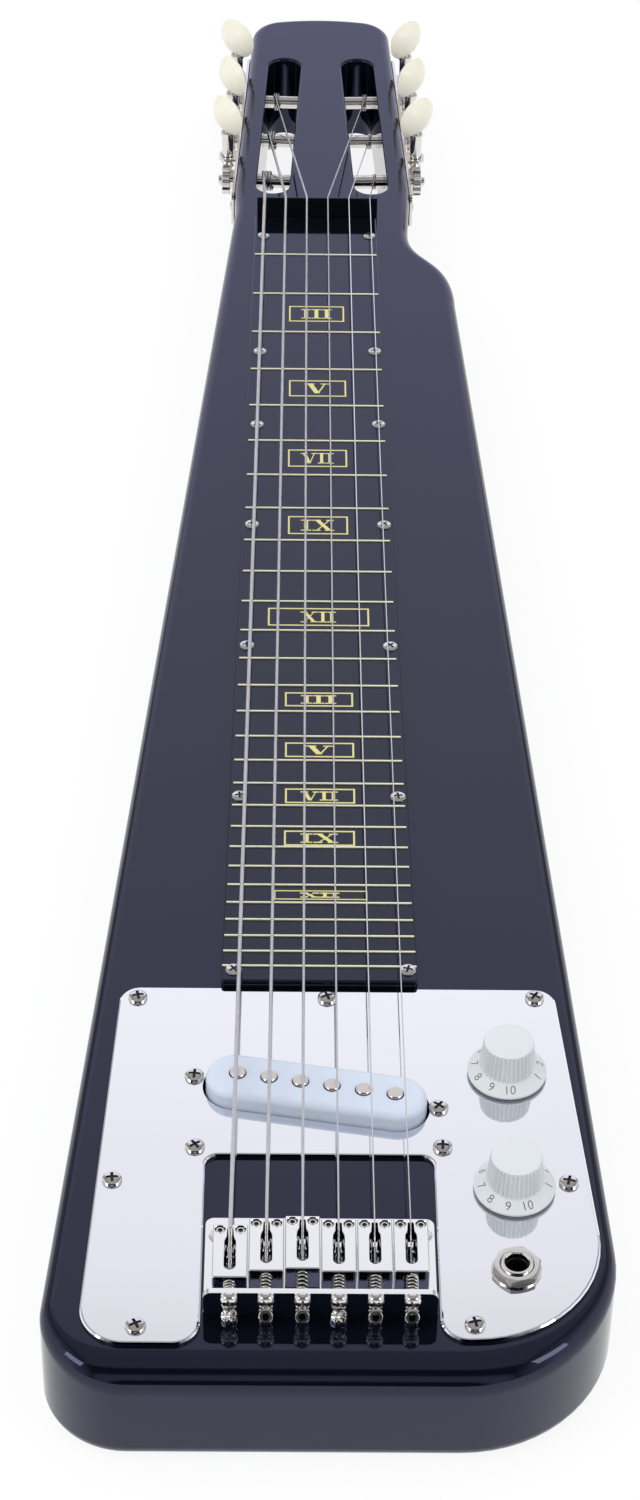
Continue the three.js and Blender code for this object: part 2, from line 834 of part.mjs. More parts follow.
// Intonation springs between the bridge wall and each saddle
function springGeometry(index) {
  const startY = wallInnerY + threadGap;
  const endY = saddleRearY(index) - threadGap;
  const stub = springWire;
  const low = startY + stub;
  const high = endY - stub;
  const room = high - low;
  const curls = Math.min(springCurls, Math.floor(room / (springWire + springLeastGap)));
  const points = [];
  const place = (angle, y) =>
    new THREE.Vector3(
      saddleX(index) + springRadius * Math.cos(angle),
      y,
      screwZ + springRadius * Math.sin(angle),
    );
  points.push(place(0, startY));
  for (let step = 0; step <= curls * springSteps; step += 1) {
    const share = step / (curls * springSteps);
    points.push(place(share * curls * 2 * Math.PI, low + share * room));
  }
  points.push(place(curls * 2 * Math.PI, endY));
  reportLeastGap(`intonation_spring_${index + 1}`, points.slice(1, -1), springSteps, springWire);
  return tube(points, springWire / 2, springSides);
}

// Strings: ball end, bridge wall, saddle, nut and the turns on the roller
function stringGeometry(index) {
  const radius = stringDiameters[index] / 2;
  const x = saddleX(index);
  const ballY = bridgeRearY - ballDiameter / 2 - seatGap;
  const kinkY = saddleRearY(index) + saddleRearWall;
  const kinkZ = bridgeTop + saddleUndercutRise - radius - kinkGap;
  const breakY = saddleFrontY(index) - saddleLip + kinkGap;
  const nutPlace = new THREE.Vector3(nutX(index), 0, nutTop + radius + kinkGap);
  const nutFront = nutPlace.clone().setY(-nutTopLength);
  const points = [
    new THREE.Vector3(x, ballY, stringHoleZ),
    new THREE.Vector3(x, wallInnerY + radius, stringHoleZ),
    new THREE.Vector3(x, kinkY, kinkZ),
    new THREE.Vector3(x, breakY, saddleTop + radius + kinkGap),
    nutFront,
    nutPlace,
  ];
  points.push(...windingPoints(index, nutPlace));
  const ball = new THREE.CylinderGeometry(ballDiameter / 2, ballDiameter / 2, ballLength, 10);
  ball.translate(x, ballY, stringHoleZ);
  return join(tube(points, radius, stringSides), ball);
}

function windingPoints(index, nutPlace) {
  const diameter = stringDiameters[index];
  const { side, row } = tuners[index];
  const wrapRadius = (rollerDiameter + diameter) / 2 + kinkGap;
  const start = -(slotSideWall + windingInsets[index]);
  const pitch = diameter + windingLeastGap;
  const along = row * tunerPitch;
  const axis = sidePoint(side, start, along, rollerZ);
  const back = nutPlace.y - axis.y;
  const up = nutPlace.z - axis.z;
  const first = Math.atan2(back, up) + Math.acos(wrapRadius / Math.hypot(back, up));
  const steps = Math.round(windingLoops * windingSteps);
  const points = [];
  const wrap = (turns, angle) =>
    sidePoint(
      side,
      start - turns * pitch,
      along + wrapRadius * Math.sin(angle),
      rollerZ + wrapRadius * Math.cos(angle),
    );
  for (let step = 0; step <= steps; step += 1) {
    const turns = step / windingSteps;
    points.push(wrap(turns, first + turns * 2 * Math.PI));
  }
  const end = points.at(-1);
  const heading = end.clone().sub(points.at(-2)).setLength(diameter);
  points.push(end.clone().add(heading));
  reportLeastGap(`string_${index + 1}`, points, windingSteps, diameter);
  return points;
}

// Tuner plates with an ear above and below each worm
const wormHalf = wormLength / 2;
const earHigh = rollerZ + wormHalf + runGap;
const earLow = rollerZ - wormHalf - runGap - earThickness;

function tunerPlateGeometry(side) {
  const inner = side * seatGap;
  const outer = side * (seatGap + tunerPlateThickness);
  const halfLength = tunerPitch + tunerPlateEnd;
  const plate = box(
    Math.min(inner, outer),
    Math.max(inner, outer),
    -halfLength,
    halfLength,
    rollerZ - tunerPlateHeight / 2,
    rollerZ + tunerPlateHeight / 2,
  );
  const rows = [-1, 0, 1];
  const ears = rows.flatMap((row) => {
    const y = row * tunerPitch + wormOffset;
    const root = side * (seatGap + tunerPlateThickness / 2);
    const reach = side * (seatGap + tunerPlateThickness + earReach);
    const x0 = Math.min(root, reach);
    const x1 = Math.max(root, reach);
    const y0 = y - earWidth / 2;
    return [earHigh, earLow].map((z) => box(x0, x1, y0, y0 + earWidth, z, z + earThickness));
  });
  const holes = rows.flatMap((row) => {
    const y = row * tunerPitch;
    const stem = post(stemDiameter / 2 + runGap, earHigh - overrun, earHigh + overrun, 8);
    const pin = post(wormPinDiameter / 2 + runGap, earLow - overrun, earLow + overrun, 8);
    return [
      acrossPost(side, rollerDiameter / 2 + rollerHoleGap, -overrun, overrun, y, 10),
      moved(stem, side * gearMiddle, y + wormOffset),
      moved(pin, side * gearMiddle, y + wormOffset),
    ];
  });
  return toSideFrame(cut(join(plate, ...ears), holes), side);
}

// String rollers with their gear and its screw
function gearShape() {
  const shape = new THREE.Shape();
  const tip = gearDiameter / 2;
  const root = tip - gearToothHeight;
  const toothShares = [[0, root], [0.3, tip], [0.5, tip], [0.8, root]];
  for (let tooth = 0; tooth < gearTeeth; tooth += 1) {
    for (const [share, radius] of toothShares.slice(tooth === 0 ? 0 : 1)) {
      const angle = ((tooth + share) / gearTeeth) * 2 * Math.PI;
      const x = radius * Math.cos(angle);
      const y = radius * Math.sin(angle);
      if (tooth === 0 && share === 0) shape.moveTo(x, y);
      else shape.lineTo(x, y);
    }
  }
  return shape;
}

function rollerGeometry({ side, row }) {
  const face = gearStandOff + gearThickness;
  const hubStart = seatGap + tunerPlateThickness + runGap;
  const along = row * tunerPitch;
  const gear = slab(gearShape(), gearStandOff, face);
  gear.rotateY(Math.PI / 2);
  if (side < 0) gear.rotateZ(Math.PI);
  gear.translate(0, along, rollerZ);
  const parts = [
    acrossPost(side, rollerDiameter / 2, rollerInner, gearStandOff + seatGap, along, 12),
    acrossPost(side, gearHubDiameter / 2, hubStart, gearStandOff + seatGap, along, 10),
    gear,
    acrossPost(side, gearScrewDiameter / 2, face - seatGap, face + gearScrewRise, along, 8),
  ];
  return toSideFrame(join(...parts), side);
}

// Worm shafts and the buttons on them
const buttonZ = bodyTop + buttonRise;
const buttonSeat = buttonZ - buttonHeight / 2 + buttonSeatDrop;

function wormGeometry({ side, row }) {
  const pitch = wormLength / wormThreads;
  const bottom = rollerZ - wormHalf;
  const threads = [];
  for (let thread = 0; thread < wormThreads; thread += 1) {
    const z = bottom + thread * pitch;
    threads.push([wormDiameter / 2, z + pitch / 2]);
    threads.push([wormCoreDiameter / 2, z + pitch]);
  }
  const profile = [
    [0, earLow - runGap],
    [wormPinDiameter / 2, earLow - runGap],
    [wormPinDiameter / 2, bottom],
    [wormCoreDiameter / 2, bottom],
    ...threads,
    [stemDiameter / 2, rollerZ + wormHalf],
    [stemDiameter / 2, buttonSeat - seatGap],
    [tangDiameter / 2, buttonSeat - seatGap],
    [tangDiameter / 2, buttonSeat + tangLength],
    [0, buttonSeat + tangLength],
  ];
  return toSideFrame(moved(turned(profile, 8), side * gearMiddle, row * tunerPitch + wormOffset), side);
}

function buttonGeometry({ side, row }, index) {
  const oval = new THREE.SphereGeometry(1, 10, 8);
  oval.rotateX(Math.PI / 2);
  oval.scale(buttonWidth / 2, buttonThickness / 2, buttonHeight / 2);
  oval.translate(0, 0, buttonZ);
  const size = buttonWidth;
  const shaped = cut(oval, [
    box(-size, size, -size, size, buttonSeat - size, buttonSeat),
    post(tangDiameter / 2 + turnGap, buttonSeat - overrun, buttonSeat + tangLength + runGap, 8),
  ]);
  shaped.rotateZ(side * THREE.MathUtils.degToRad(buttonTurnDegrees[index]));
  return toSideFrame(moved(shaped, side * gearMiddle, row * tunerPitch + wormOffset), side);
}

// The guitar as a scene graph, moved so that its origin is under the middle of the body
const guitar = new THREE.Group();

function addPiece(name, geometry, finish) {
  const [color, roughness, metalness] = finishes[finish];
  const mesh = new THREE.Mesh(geometry, new THREE.MeshStandardMaterial({ color, roughness, metalness }));
  mesh.name = name;
  guitar.add(mesh);
  return mesh;
}

const body = addPiece('body', bodyGeometry(), 'lacquer');
addPiece('fretboard', fretboardGeometry(), 'board');
addPiece('nut', nutGeometry(), 'nutBlack');
addPiece('control_plate', controlPlateGeometry(), 'mirror');
addPiece('pickup_cover', pickupCoverGeometry(), 'ice');
addPiece('pickup_core', pickupCoreGeometry(), 'darkCore');
addPiece('volume_knob', knobGeometry(volumeY), 'mint');
addPiece('volume_shaft', shaftGeometry(volumeY), 'brass');
addPiece('volume_pot', potGeometry(volumeY), 'nickel');
addPiece('tone_knob', knobGeometry(toneY), 'mint');
addPiece('tone_shaft', shaftGeometry(toneY), 'brass');
addPiece('tone_pot', potGeometry(toneY), 'nickel');
addPiece('output_jack', jackGeometry(), 'nickel');
addPiece('jack_washer', jackWasherGeometry(), 'nickel');
addPiece('jack_nut', jackNutGeometry(), 'nickel');
addPiece('bridge_plate', bridgeGeometry(), 'chrome');
addPiece('tuner_plate_left', tunerPlateGeometry(-1), 'nickel');
addPiece('tuner_plate_right', tunerPlateGeometry(1), 'nickel');
for (let index = 0; index < stringCount; index += 1) {
  const number = index + 1;
  addPiece(`saddle_${number}`, saddleGeometry(index), 'chrome');
  addPiece(`intonation_screw_${number}`, intonationScrewGeometry(index), 'nickel');
  addPiece(`intonation_spring_${number}`, springGeometry(index), 'nickel');
  addPiece(`string_${number}`, stringGeometry(index), 'steelString');
  addPiece(`string_roller_${number}`, rollerGeometry(tuners[index]), 'nickel');
  addPiece(`worm_shaft_${number}`, wormGeometry(tuners[index]), 'nickel');
  addPiece(`tuner_button_${number}`, buttonGeometry(tuners[index], index), 'cream');
}

body.geometry.computeBoundingBox();
const middle = body.geometry.boundingBox.getCenter(new THREE.Vector3());
guitar.position.set(-middle.x, -middle.y, 0);

export default guitar;
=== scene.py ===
import math
import random

import bmesh
import bpy
from mathutils import Matrix, Vector


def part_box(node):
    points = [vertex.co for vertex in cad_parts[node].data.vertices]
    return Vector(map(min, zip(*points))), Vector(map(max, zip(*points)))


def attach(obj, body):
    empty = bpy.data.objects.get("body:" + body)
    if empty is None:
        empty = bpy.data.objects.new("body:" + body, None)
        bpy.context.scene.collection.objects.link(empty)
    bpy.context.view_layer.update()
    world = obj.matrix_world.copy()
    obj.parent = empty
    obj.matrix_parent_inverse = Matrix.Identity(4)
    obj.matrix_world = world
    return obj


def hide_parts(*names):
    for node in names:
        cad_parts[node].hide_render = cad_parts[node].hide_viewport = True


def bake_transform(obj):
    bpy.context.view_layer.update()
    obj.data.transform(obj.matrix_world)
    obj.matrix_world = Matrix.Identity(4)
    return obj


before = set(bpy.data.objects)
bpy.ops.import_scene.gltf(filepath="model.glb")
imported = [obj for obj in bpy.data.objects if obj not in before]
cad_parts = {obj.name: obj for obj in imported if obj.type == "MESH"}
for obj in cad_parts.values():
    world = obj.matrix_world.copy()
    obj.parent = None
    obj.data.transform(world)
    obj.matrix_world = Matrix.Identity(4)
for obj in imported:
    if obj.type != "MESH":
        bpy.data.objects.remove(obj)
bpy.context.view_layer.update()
scene = bpy.context.scene
dice = random.Random(7)

# All shapes are drawn in millimetres on the guitar's own lines, as the part's source has them:
# x = 0 is the middle of the strings at the nut, y = 0 is where they break, z = 0 is the underside.
MM = 0.001
NUT_X_OFFSET = 0.5
NUT_FOOT = 2.6
nut_low, nut_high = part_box("nut")
origin = Vector(((nut_low.x + nut_high.x) / 2 - NUT_X_OFFSET * MM, nut_high.y - NUT_FOOT * MM, 0.0))
TO_ROW = Matrix.Translation(origin) @ Matrix.Scale(MM, 4)
SIDES = (-1, 1)
ROWS = (-1, 0, 1)
STRINGS = range(6)


# Camera at the photograph's angle: its pitch, yaw and roll in degrees, and its place in metres
PHOTO_HEIGHT = 1500
FOCAL_PIXELS = 3284.14
CAMERA_TURNS = (40.05773, -0.86588, 1.00592)
CAMERA_PLACE = (-0.01524, -0.99291, 0.76369)


def make_camera():
    data = bpy.data.cameras.new("camera")
    data.sensor_width = 36
    data.lens = FOCAL_PIXELS / PHOTO_HEIGHT * data.sensor_width
    data.clip_start = 0.01
    data.clip_end = 50
    pitch, yaw, roll = (math.radians(turn) for turn in CAMERA_TURNS)
    ahead = Vector((-math.sin(yaw) * math.cos(pitch), math.cos(yaw) * math.cos(pitch), -math.sin(pitch)))
    right = Vector((math.cos(yaw), math.sin(yaw), 0))
    up = right.cross(ahead)
    x_axis = right * math.cos(roll) + up * math.sin(roll)
    y_axis = up * math.cos(roll) - right * math.sin(roll)
    camera = bpy.data.objects.new("camera", data)
    turned = Matrix((x_axis, y_axis, -ahead)).transposed().to_4x4()
    camera.matrix_world = Matrix.Translation(CAMERA_PLACE) @ turned
    scene.collection.objects.link(camera)
    scene.camera = camera


make_camera()


# Shapes are pairs of points and faces
def join(*shapes):
    points, faces = [], []
    for more_points, more_faces in shapes:
        base = len(points)
        points += [Vector(p) for p in more_points]
        faces += [tuple(base + i for i in face) for face in more_faces]
    return points, faces


def moved(shape, matrix):
    return [matrix @ Vector(p) for p in shape[0]], shape[1]


def shifted(shape, x, y, z=0.0):
    return moved(shape, Matrix.Translation((x, y, z)))


def spun(shape, degrees, axis="Z"):
    return moved(shape, Matrix.Rotation(math.radians(degrees), 4, axis))


def loft(rings, looped=False):
    count = len(rings[0])
    faces = []
    for r in range(len(rings) if looped else len(rings) - 1):
        a, b = r * count, (r + 1) % len(rings) * count
        faces += [(a + i, a + (i + 1) % count, b + (i + 1) % count, b + i) for i in range(count)]
    if not looped:
        last = (len(rings) - 1) * count
        faces += [tuple(reversed(range(count))), tuple(range(last, last + count))]
    return [Vector(p) for ring in rings for p in ring], faces


def outline(corners, steps=8):
    points = []
    for k, (x, y, radius) in enumerate(corners):
        corner = Vector((x, y))
        if radius == 0:
            points.append(corner)
            continue
        back = (Vector(corners[k - 1][:2]) - corner).normalized()
        ahead = (Vector(corners[(k + 1) % len(corners)][:2]) - corner).normalized()
        half = back.angle(ahead) / 2
        centre = corner + (back + ahead).normalized() * radius / math.sin(half)
        start = corner + back * radius / math.tan(half) - centre
        end = corner + ahead * radius / math.tan(half) - centre
        begin = math.atan2(start.y, start.x)
        sweep = (math.atan2(end.y, end.x) - begin + math.pi) % (2 * math.pi) - math.pi
        for step in range(steps + 1):
            angle = begin + sweep * step / steps
            points.append(centre + radius * Vector((math.cos(angle), math.sin(angle))))
    return clean(points)


def clean(points):
    return [p for k, p in enumerate(points) if (p - points[k - 1]).length > 1e-3]


def stadium(length, width, steps=12):
    x, y = length / 2, width / 2
    return outline([(-x, -y, y), (x, -y, y), (x, y, y), (-x, y, y)], steps)


def rectangle(x0, x1, y0, y1, radius=0, steps=6):
    return outline([(x0, y0, radius), (x1, y0, radius), (x1, y1, radius), (x0, y1, radius)], steps)


def inset(points, amount):
    made = []
    for k, point in enumerate(points):
        before = (point - points[k - 1]).normalized()
        after = (points[(k + 1) % len(points)] - point).normalized()
        across = Vector((before.y + after.y, -before.x - after.x)).normalized()
        made.append(point - across * amount / max(across.dot(Vector((after.y, -after.x))), 0.4))
    return made


def prism(points, levels):
    return loft([[(p.x, p.y, z) for p in inset(points, amount)] for z, amount in levels])


def rounded(low, high, low_radius, high_radius, steps):
    levels = []
    for radius, edge, inward in ((low_radius, low, 1), (high_radius, high, -1)):
        turn = [(edge, 0.0)]
        if radius:
            turns = [math.pi / 2 * step / steps for step in range(steps + 1)]
            turn = [(edge + inward * radius * (1 - math.cos(t)), radius * (1 - math.sin(t))) for t in turns]
        levels += turn if inward > 0 else turn[::-1]
    return levels


def block(x0, x1, y0, y1, z0, z1):
    return prism(rectangle(x0, x1, y0, y1), [(z0, 0), (z1, 0)])


def around(count):
    return [2 * math.pi * k / count for k in range(count)]


def at_angle(radius, angle, z=0.0):
    return Vector((radius * math.cos(angle), radius * math.sin(angle), z))


def circles(profile, sides):
    """A ring of points for each radius and level of a profile."""
    return [[at_angle(radius, t, z) for t in around(sides)] for radius, z in profile]


def lathe(profile, sides=32, looped=False):
    return loft(circles(profile, sides), looped)


def pin(radius, low, high, sides=32, edge=0.0):
    if not edge:
        return lathe([(radius, low), (radius, high)], sides)
    inner = radius - edge
    return lathe([(inner, low), (radius, low + edge), (radius, high - edge), (inner, high)], sides)


def rod(radius, start, end, sides=24, axis="X"):
    """A pin that lies along y, or along x when it is turned about Y."""
    return spun(pin(radius, start, end, sides), 90, axis)


def tube(path, radius, sides=12):
    rings = []
    normal = Vector((0, 0, 1))
    for k, point in enumerate(path):
        tangent = (path[min(k + 1, len(path) - 1)] - path[max(k - 1, 0)]).normalized()
        if abs(tangent.dot(normal)) > 0.99:
            normal = Vector((1, 0, 0))
        normal = (normal - tangent * tangent.dot(normal)).normalized()
        side = tangent.cross(normal)
        rings.append([point + radius * (normal * math.cos(t) + side * math.sin(t)) for t in around(sides)])
    return loft(rings)


def bend(start, corner, end, steps):
    """Points of a quadratic curve from start to end, drawn toward the corner."""
    shares = [step / steps for step in range(steps + 1)]
    return [start * (1 - t) ** 2 + corner * 2 * t * (1 - t) + end * t * t for t in shares]


def eased(path, reach, steps=4):
    """The path with each of its corners rounded."""
    points = [path[0]]
    for before, corner, after in zip(path, path[1:], path[2:]):
        start = corner + (before - corner).normalized() * min(reach, (before - corner).length / 2)
        end = corner + (after - corner).normalized() * min(reach, (after - corner).length / 2)
        points += bend(start, corner, end, steps)
    return points + [path[-1]]


def mesh_object(shape, name="work"):
    mesh = bpy.data.meshes.new(name)
    mesh.from_pydata([tuple(p) for p in shape[0]], [], shape[1])
    work = bmesh.new()
    work.from_mesh(mesh)
    bmesh.ops.recalc_face_normals(work, faces=work.faces)
    work.to_mesh(mesh)
    work.free()
    made = bpy.data.objects.new(name, mesh)
    scene.collection.objects.link(made)
    return made


def finished_mesh(made):
    bpy.context.view_layer.update()
    return bpy.data.meshes.new_from_object(made.evaluated_get(bpy.context.evaluated_depsgraph_get()))


def worked(shape, settings):
    """The shape after modifiers, each a kind with its settings."""
    target = mesh_object(shape)
    for kind, values in settings:
        modifier = target.modifiers.new(kind, kind)
        for key, value in values.items():
            setattr(modifier, key, value)
    mesh = finished_mesh(target)
    result = [v.co.copy() for v in mesh.vertices], [tuple(f.vertices) for f in mesh.polygons]
    bpy.data.objects.remove(target)
    return result


def combined(shape, others, operation):
    tools = [mesh_object(other) for other in others]
    common = {"operation": operation, "solver": "EXACT"}
    result = worked(shape, [("BOOLEAN", {**common, "object": tool}) for tool in tools])
    for tool in tools:
        bpy.data.objects.remove(tool)
    return result


def cut(shape, *others):
    return combined(shape, others, "DIFFERENCE")


def fused(shape, *others):
    return combined(shape, others, "UNION")


def softened(shape, width):
    limits = {"limit_method": "ANGLE", "angle_limit": math.radians(50)}
    return worked(shape, [("BEVEL", {"width": width, "segments": 2, **limits})])


# Finishes
def linear(rgb):
    shares = [c / 255 for c in rgb]
    return [s / 12.92 if s <= 0.04045 else ((s + 0.055) / 1.055) ** 2.4 for s in shares]


def add_node(tree, kind, **values):
    """A node with these socket values, with _ for each space in a socket's name."""
    node = tree.nodes.new("ShaderNode" + kind)
    for key, value in values.items():
        node.inputs[key.replace("_", " ")].default_value = value
    return node


def fill(tree, sockets, values):
    """Gives each socket its value: a constant, or what another node puts out."""
    for socket, value in zip(sockets, values):
        if isinstance(value, (float, tuple)):
            socket.default_value = value
        else:
            tree.links.new(value, socket)


def mix_colour(tree, share, first, second):
    node = tree.nodes.new("ShaderNodeMix")
    node.data_type = "RGBA"
    fill(tree, [node.inputs[name] for name in ("Factor", "A", "B")], (share, first, second))
    return node.outputs["Result"]


def add_relief(tree, height, strength):
    """Fine bumps in the finish that follow a pattern's height."""
    relief = add_node(tree, "Bump", Strength=strength, Distance=0.0001)
    tree.links.new(height, relief.inputs["Height"])
    tree.links.new(relief.outputs["Normal"], tree.nodes["Principled BSDF"].inputs["Normal"])


def finish(name, rgb, roughness, metallic=0.0, tone=0.08, patch=70.0, grain=3000.0, bump=0.04,
           spread=0.04, **sockets):
    """A finish whose tone and roughness vary in patches, with a fine grain in relief."""
    material = bpy.data.materials.new(name)
    material.use_nodes = True
    tree = material.node_tree
    shader = tree.nodes["Principled BSDF"]
    for key, value in {"Metallic": metallic, **sockets}.items():
        shader.inputs[key.replace("_", " ")].default_value = value
    place = add_node(tree, "TexCoord")
    patterns = []
    for scale, detail in ((patch, 5), (grain, 3)):
        noise = add_node(tree, "TexNoise", Scale=scale, Detail=detail)
        tree.links.new(place.outputs["Object"], noise.inputs["Vector"])
        patterns.append(noise.outputs["Fac"])
    patches, grains = patterns
    tones = [(*[min(c * share, 1) for c in linear(rgb)], 1) for share in (1 - tone, 1 + tone)]
    tree.links.new(mix_colour(tree, patches, *tones), shader.inputs["Base Color"])
    rough = add_node(tree, "MapRange", From_Min=0.3, From_Max=0.7, To_Min=max(roughness - spread, 0.01),
                     To_Max=roughness + spread)
    tree.links.new(patches, rough.inputs["Value"])
    tree.links.new(rough.outputs["Result"], shader.inputs["Roughness"])
    add_relief(tree, grains, bump)
    return material


BLUE_SHEEN = (0.58, 0.62, 1.0, 1.0)
LACQUER = finish("lacquer", (11, 14, 23), 0.04, tone=0.12, grain=400, bump=0.015, spread=0.015, IOR=1.62,
                 Specular_Tint=BLUE_SHEEN)
BOARD = finish("board_paint", (10, 13, 20), 0.05, tone=0.12, grain=900, bump=0.02, spread=0.02, IOR=1.6,
               Specular_Tint=BLUE_SHEEN)
GOLD = finish("marker_gold", (238, 230, 150), 0.35, 0.25, bump=0.1)
FRET = finish("fret_gold", (252, 247, 218), 0.3, 0.25, patch=250, grain=1500, bump=0.06)
NUT = finish("nut_black", (9, 11, 15), 0.22, grain=2500, bump=0.05, IOR=1.4)
MIRROR = finish("mirror_plate", (246, 246, 252), 0.03, 1.0, tone=0.01, patch=25, grain=60, bump=0.01,
                spread=0.012)
ICE = finish("pickup_ice", (214, 224, 240), 0.25, tone=0.015, grain=1200, bump=0.02, IOR=1.46)
CORE = finish("coil_dark", (24, 24, 28), 0.6, bump=0.2)
POLE = finish("pole_steel", (226, 218, 212), 0.24, 1.0, patch=400, grain=4000, bump=0.06, spread=0.06)
MINT = finish("knob_white", (221, 226, 228), 0.26, tone=0.012, grain=1600, bump=0.02, IOR=1.46)
INK = finish("knob_ink", (74, 54, 18), 0.4, 0.2, patch=900, grain=1500, tone=0.25, bump=0.05)
BRASS = finish("shaft_brass", (200, 168, 96), 0.35, 1.0, grain=1500)
NICKEL = finish("nickel", (224, 221, 217), 0.13, 1.0, patch=300, spread=0.05)
CHROME = finish("chrome", (252, 252, 255), 0.04, 1.0, tone=0.02, patch=60, grain=500, bump=0.012,
                spread=0.02)
STEEL = finish("spring_steel", (222, 218, 210), 0.2, 1.0, patch=600, grain=4000, bump=0.05)
# Painted shade: a dark nickel for the shaft of each intonation bolt ahead of the bridge wall.
SHADED_BOLT = finish("bolt_nickel_painted_shade", (50, 48, 46), 0.22, 1.0, patch=600, grain=4000, bump=0.05)
# Painted reflection: a darker, blue-tinted chrome for the rear faces of the saddles.
DARK_REFLECTION_CHROME = finish("chrome_painted_reflection", (84, 87, 108), 0.07, 1.0, tone=0.1, patch=300, grain=900, bump=0.03)
WIRE = finish("string_steel", (238, 237, 238), 0.16, 1.0, patch=200, bump=0.03)
WOUND = finish("string_wound", (230, 228, 226), 0.22, 1.0, patch=200, bump=0.03)
CREAM = finish("button_cream", (243, 240, 223), 0.27, tone=0.035, patch=130, grain=1500, bump=0.02, IOR=1.47,
               Subsurface_Weight=0.12, Subsurface_Scale=0.004)
# Painted shade: a near-black finish for dark solids set where shade falls, in screw recesses, grub sockets,
# the jack's bore and around the frets.
PAINTED_SHADE = finish("painted_shade_dark", (14, 14, 16), 0.45, bump=0.1)


def coil_wrap(material, pitch):
    """Fine wound turns across a string, as a wave along its length."""
    tree = material.node_tree
    place = next(node for node in tree.nodes if node.type == "TEX_COORD")
    wave = add_node(tree, "TexWave", Scale=2 * math.pi / (20 * pitch * MM))
    wave.bands_direction = "Y"
    tree.links.new(place.outputs["Object"], wave.inputs["Vector"])
    add_relief(tree, wave.outputs["Fac"], 0.5)


coil_wrap(WOUND, 0.35)


def piece(name, shape, material, rides="body", stands_for=(), sharp=35):
    made = mesh_object(shape, name)
    made.data.transform(TO_ROW)
    made.data.materials.append(material)
    made.data.shade_smooth()
    made.data.set_sharp_from_angle(angle=math.radians(sharp))
    made.modifiers.new("normals", "WEIGHTED_NORMAL").keep_sharp = True
    if rides:
        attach(made, rides)
    if stands_for:
        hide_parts(*stands_for)
    return made


# Levels that the pieces share
SEAT_GAP = 0.05
BODY_TOP = 38.0
SEAT = BODY_TOP + SEAT_GAP
BOARD_TOP = SEAT + 4
NUT_TOP = BOARD_TOP + 8.7
PLATE_TOP = SEAT + 1.4
BRIDGE_TOP = SEAT + 1.8
SADDLE_TOP = BRIDGE_TOP + 9.4
PICKUP_TOP = PLATE_TOP + 6
ROLLER_Z = BODY_TOP - 11.2

# Strings: thickness, how far each saddle stands behind the bridge's far edge, and places at nut and bridge
SCALE_LENGTH = 572
THICK = [1.35, 1.1, 0.86, 0.62, 0.46, 0.38]
SETBACK = [10.7, 8.2, 7.3, 8.4, 8.3, 8.2]
NUT_SPREAD = 44.3
SADDLE_OFFSET = -0.35
SADDLE_PITCH = 10.4
SADDLE_LENGTH = 20
BRIDGE_FAR = -562.4
STRING_DROP = 0.35
NUT_X = [NUT_X_OFFSET + (k / 5 - 0.5) * NUT_SPREAD for k in STRINGS]
SADDLE_X = [SADDLE_OFFSET + (k - 2.5) * SADDLE_PITCH for k in STRINGS]
FRONT = [BRIDGE_FAR - back for back in SETBACK]

# Controls: each knob with its place and how far it is turned, and the jack
KNOB_X = 57.2
KNOBS = (("volume", -502.4, 0), ("tone", -549.7, 17))
JACK = (56.3, -581.4)

# Headstock sides and the frame of each row of tuners
TAPER = math.radians(2.55)
HEAD_X = 2.8
HEAD_HALF_WIDTH = 37.8
HEAD_NEAR_Y = 30.0
HEAD_END_Y = 184.0
HEAD_CROWN = 3
TUNER_MIDDLE_Y = 90
TUNER_PITCH = 35.3


def head_point(side, y):
    return Vector((HEAD_X + side * (HEAD_HALF_WIDTH - (y - HEAD_NEAR_Y) * math.tan(TAPER)), y))


def side_frame(side):
    base = head_point(side, TUNER_MIDDLE_Y)
    return Matrix.Translation((base.x, base.y, 0)) @ Matrix.Rotation(side * TAPER, 4, "Z")


def across(side, along):
    """Turns a shape that was made along z outward from the headstock's side."""
    lie = Matrix.Rotation(side * math.pi / 2, 4, "Y")
    return side_frame(side) @ Matrix.Translation((0, along, ROLLER_Z)) @ lie


# Body
BUTT_Y = -619.4
SHOULDER = (57.3, -60)
HEAD_CORNER = 15


def body_outline():
    near_right, near_left = (head_point(side, HEAD_NEAR_Y) for side in (1, -1))
    right, left = (head_point(side, HEAD_END_Y - HEAD_CROWN) for side in (1, -1))
    crown = Vector((HEAD_X, HEAD_END_Y + HEAD_CROWN))
    butt = outline([(-34.5, 12, 0), (-82.7, BUTT_Y, 25), (88.7, BUTT_Y, 46), (*SHOULDER, 0)], 16)
    far_right = outline([(*near_right, 0), (*right, HEAD_CORNER), (*crown, 0)], 12)[1:-1]
    far_left = outline([(*crown, 0), (*left, HEAD_CORNER), (*near_left, 0)], 12)[1:-1]
    shoulder, swell = Vector(SHOULDER), Vector((SHOULDER[0], -21))
    hollow, neck = Vector((39, -30)), Vector((39, -2))
    horn = []
    for t in (step / 28 for step in range(1, 29)):
        outer = shoulder * (1 - t) ** 3 + swell * 3 * t * (1 - t) ** 2
        horn.append(outer + hollow * 3 * t * t * (1 - t) + neck * t ** 3)
    top = bend(far_right[-1], crown, far_left[0], 16)[1:-1]
    return clean(butt + horn + [near_right] + far_right + top + far_left + [near_left])


PICKUP_DEGREES = -10
PICKUP_AT = (-1.4, -513)
SLOT = (119, 14.3)
SLOT_PLACE = (16.45, -4.5)


def pickup_place(shape):
    return shifted(spun(shape, PICKUP_DEGREES), *PICKUP_AT)


def slot_levels(flare=1.2, overrun=2):
    """A slot through the body whose upper mouth opens out in a small round."""
    turns = [0.4 * step for step in range(5)]
    high = [(BODY_TOP - flare + flare * math.sin(t), -flare * (1 - math.cos(t))) for t in turns]
    return [(-overrun, 0)] + high + [(BODY_TOP + overrun, high[-1][1])]


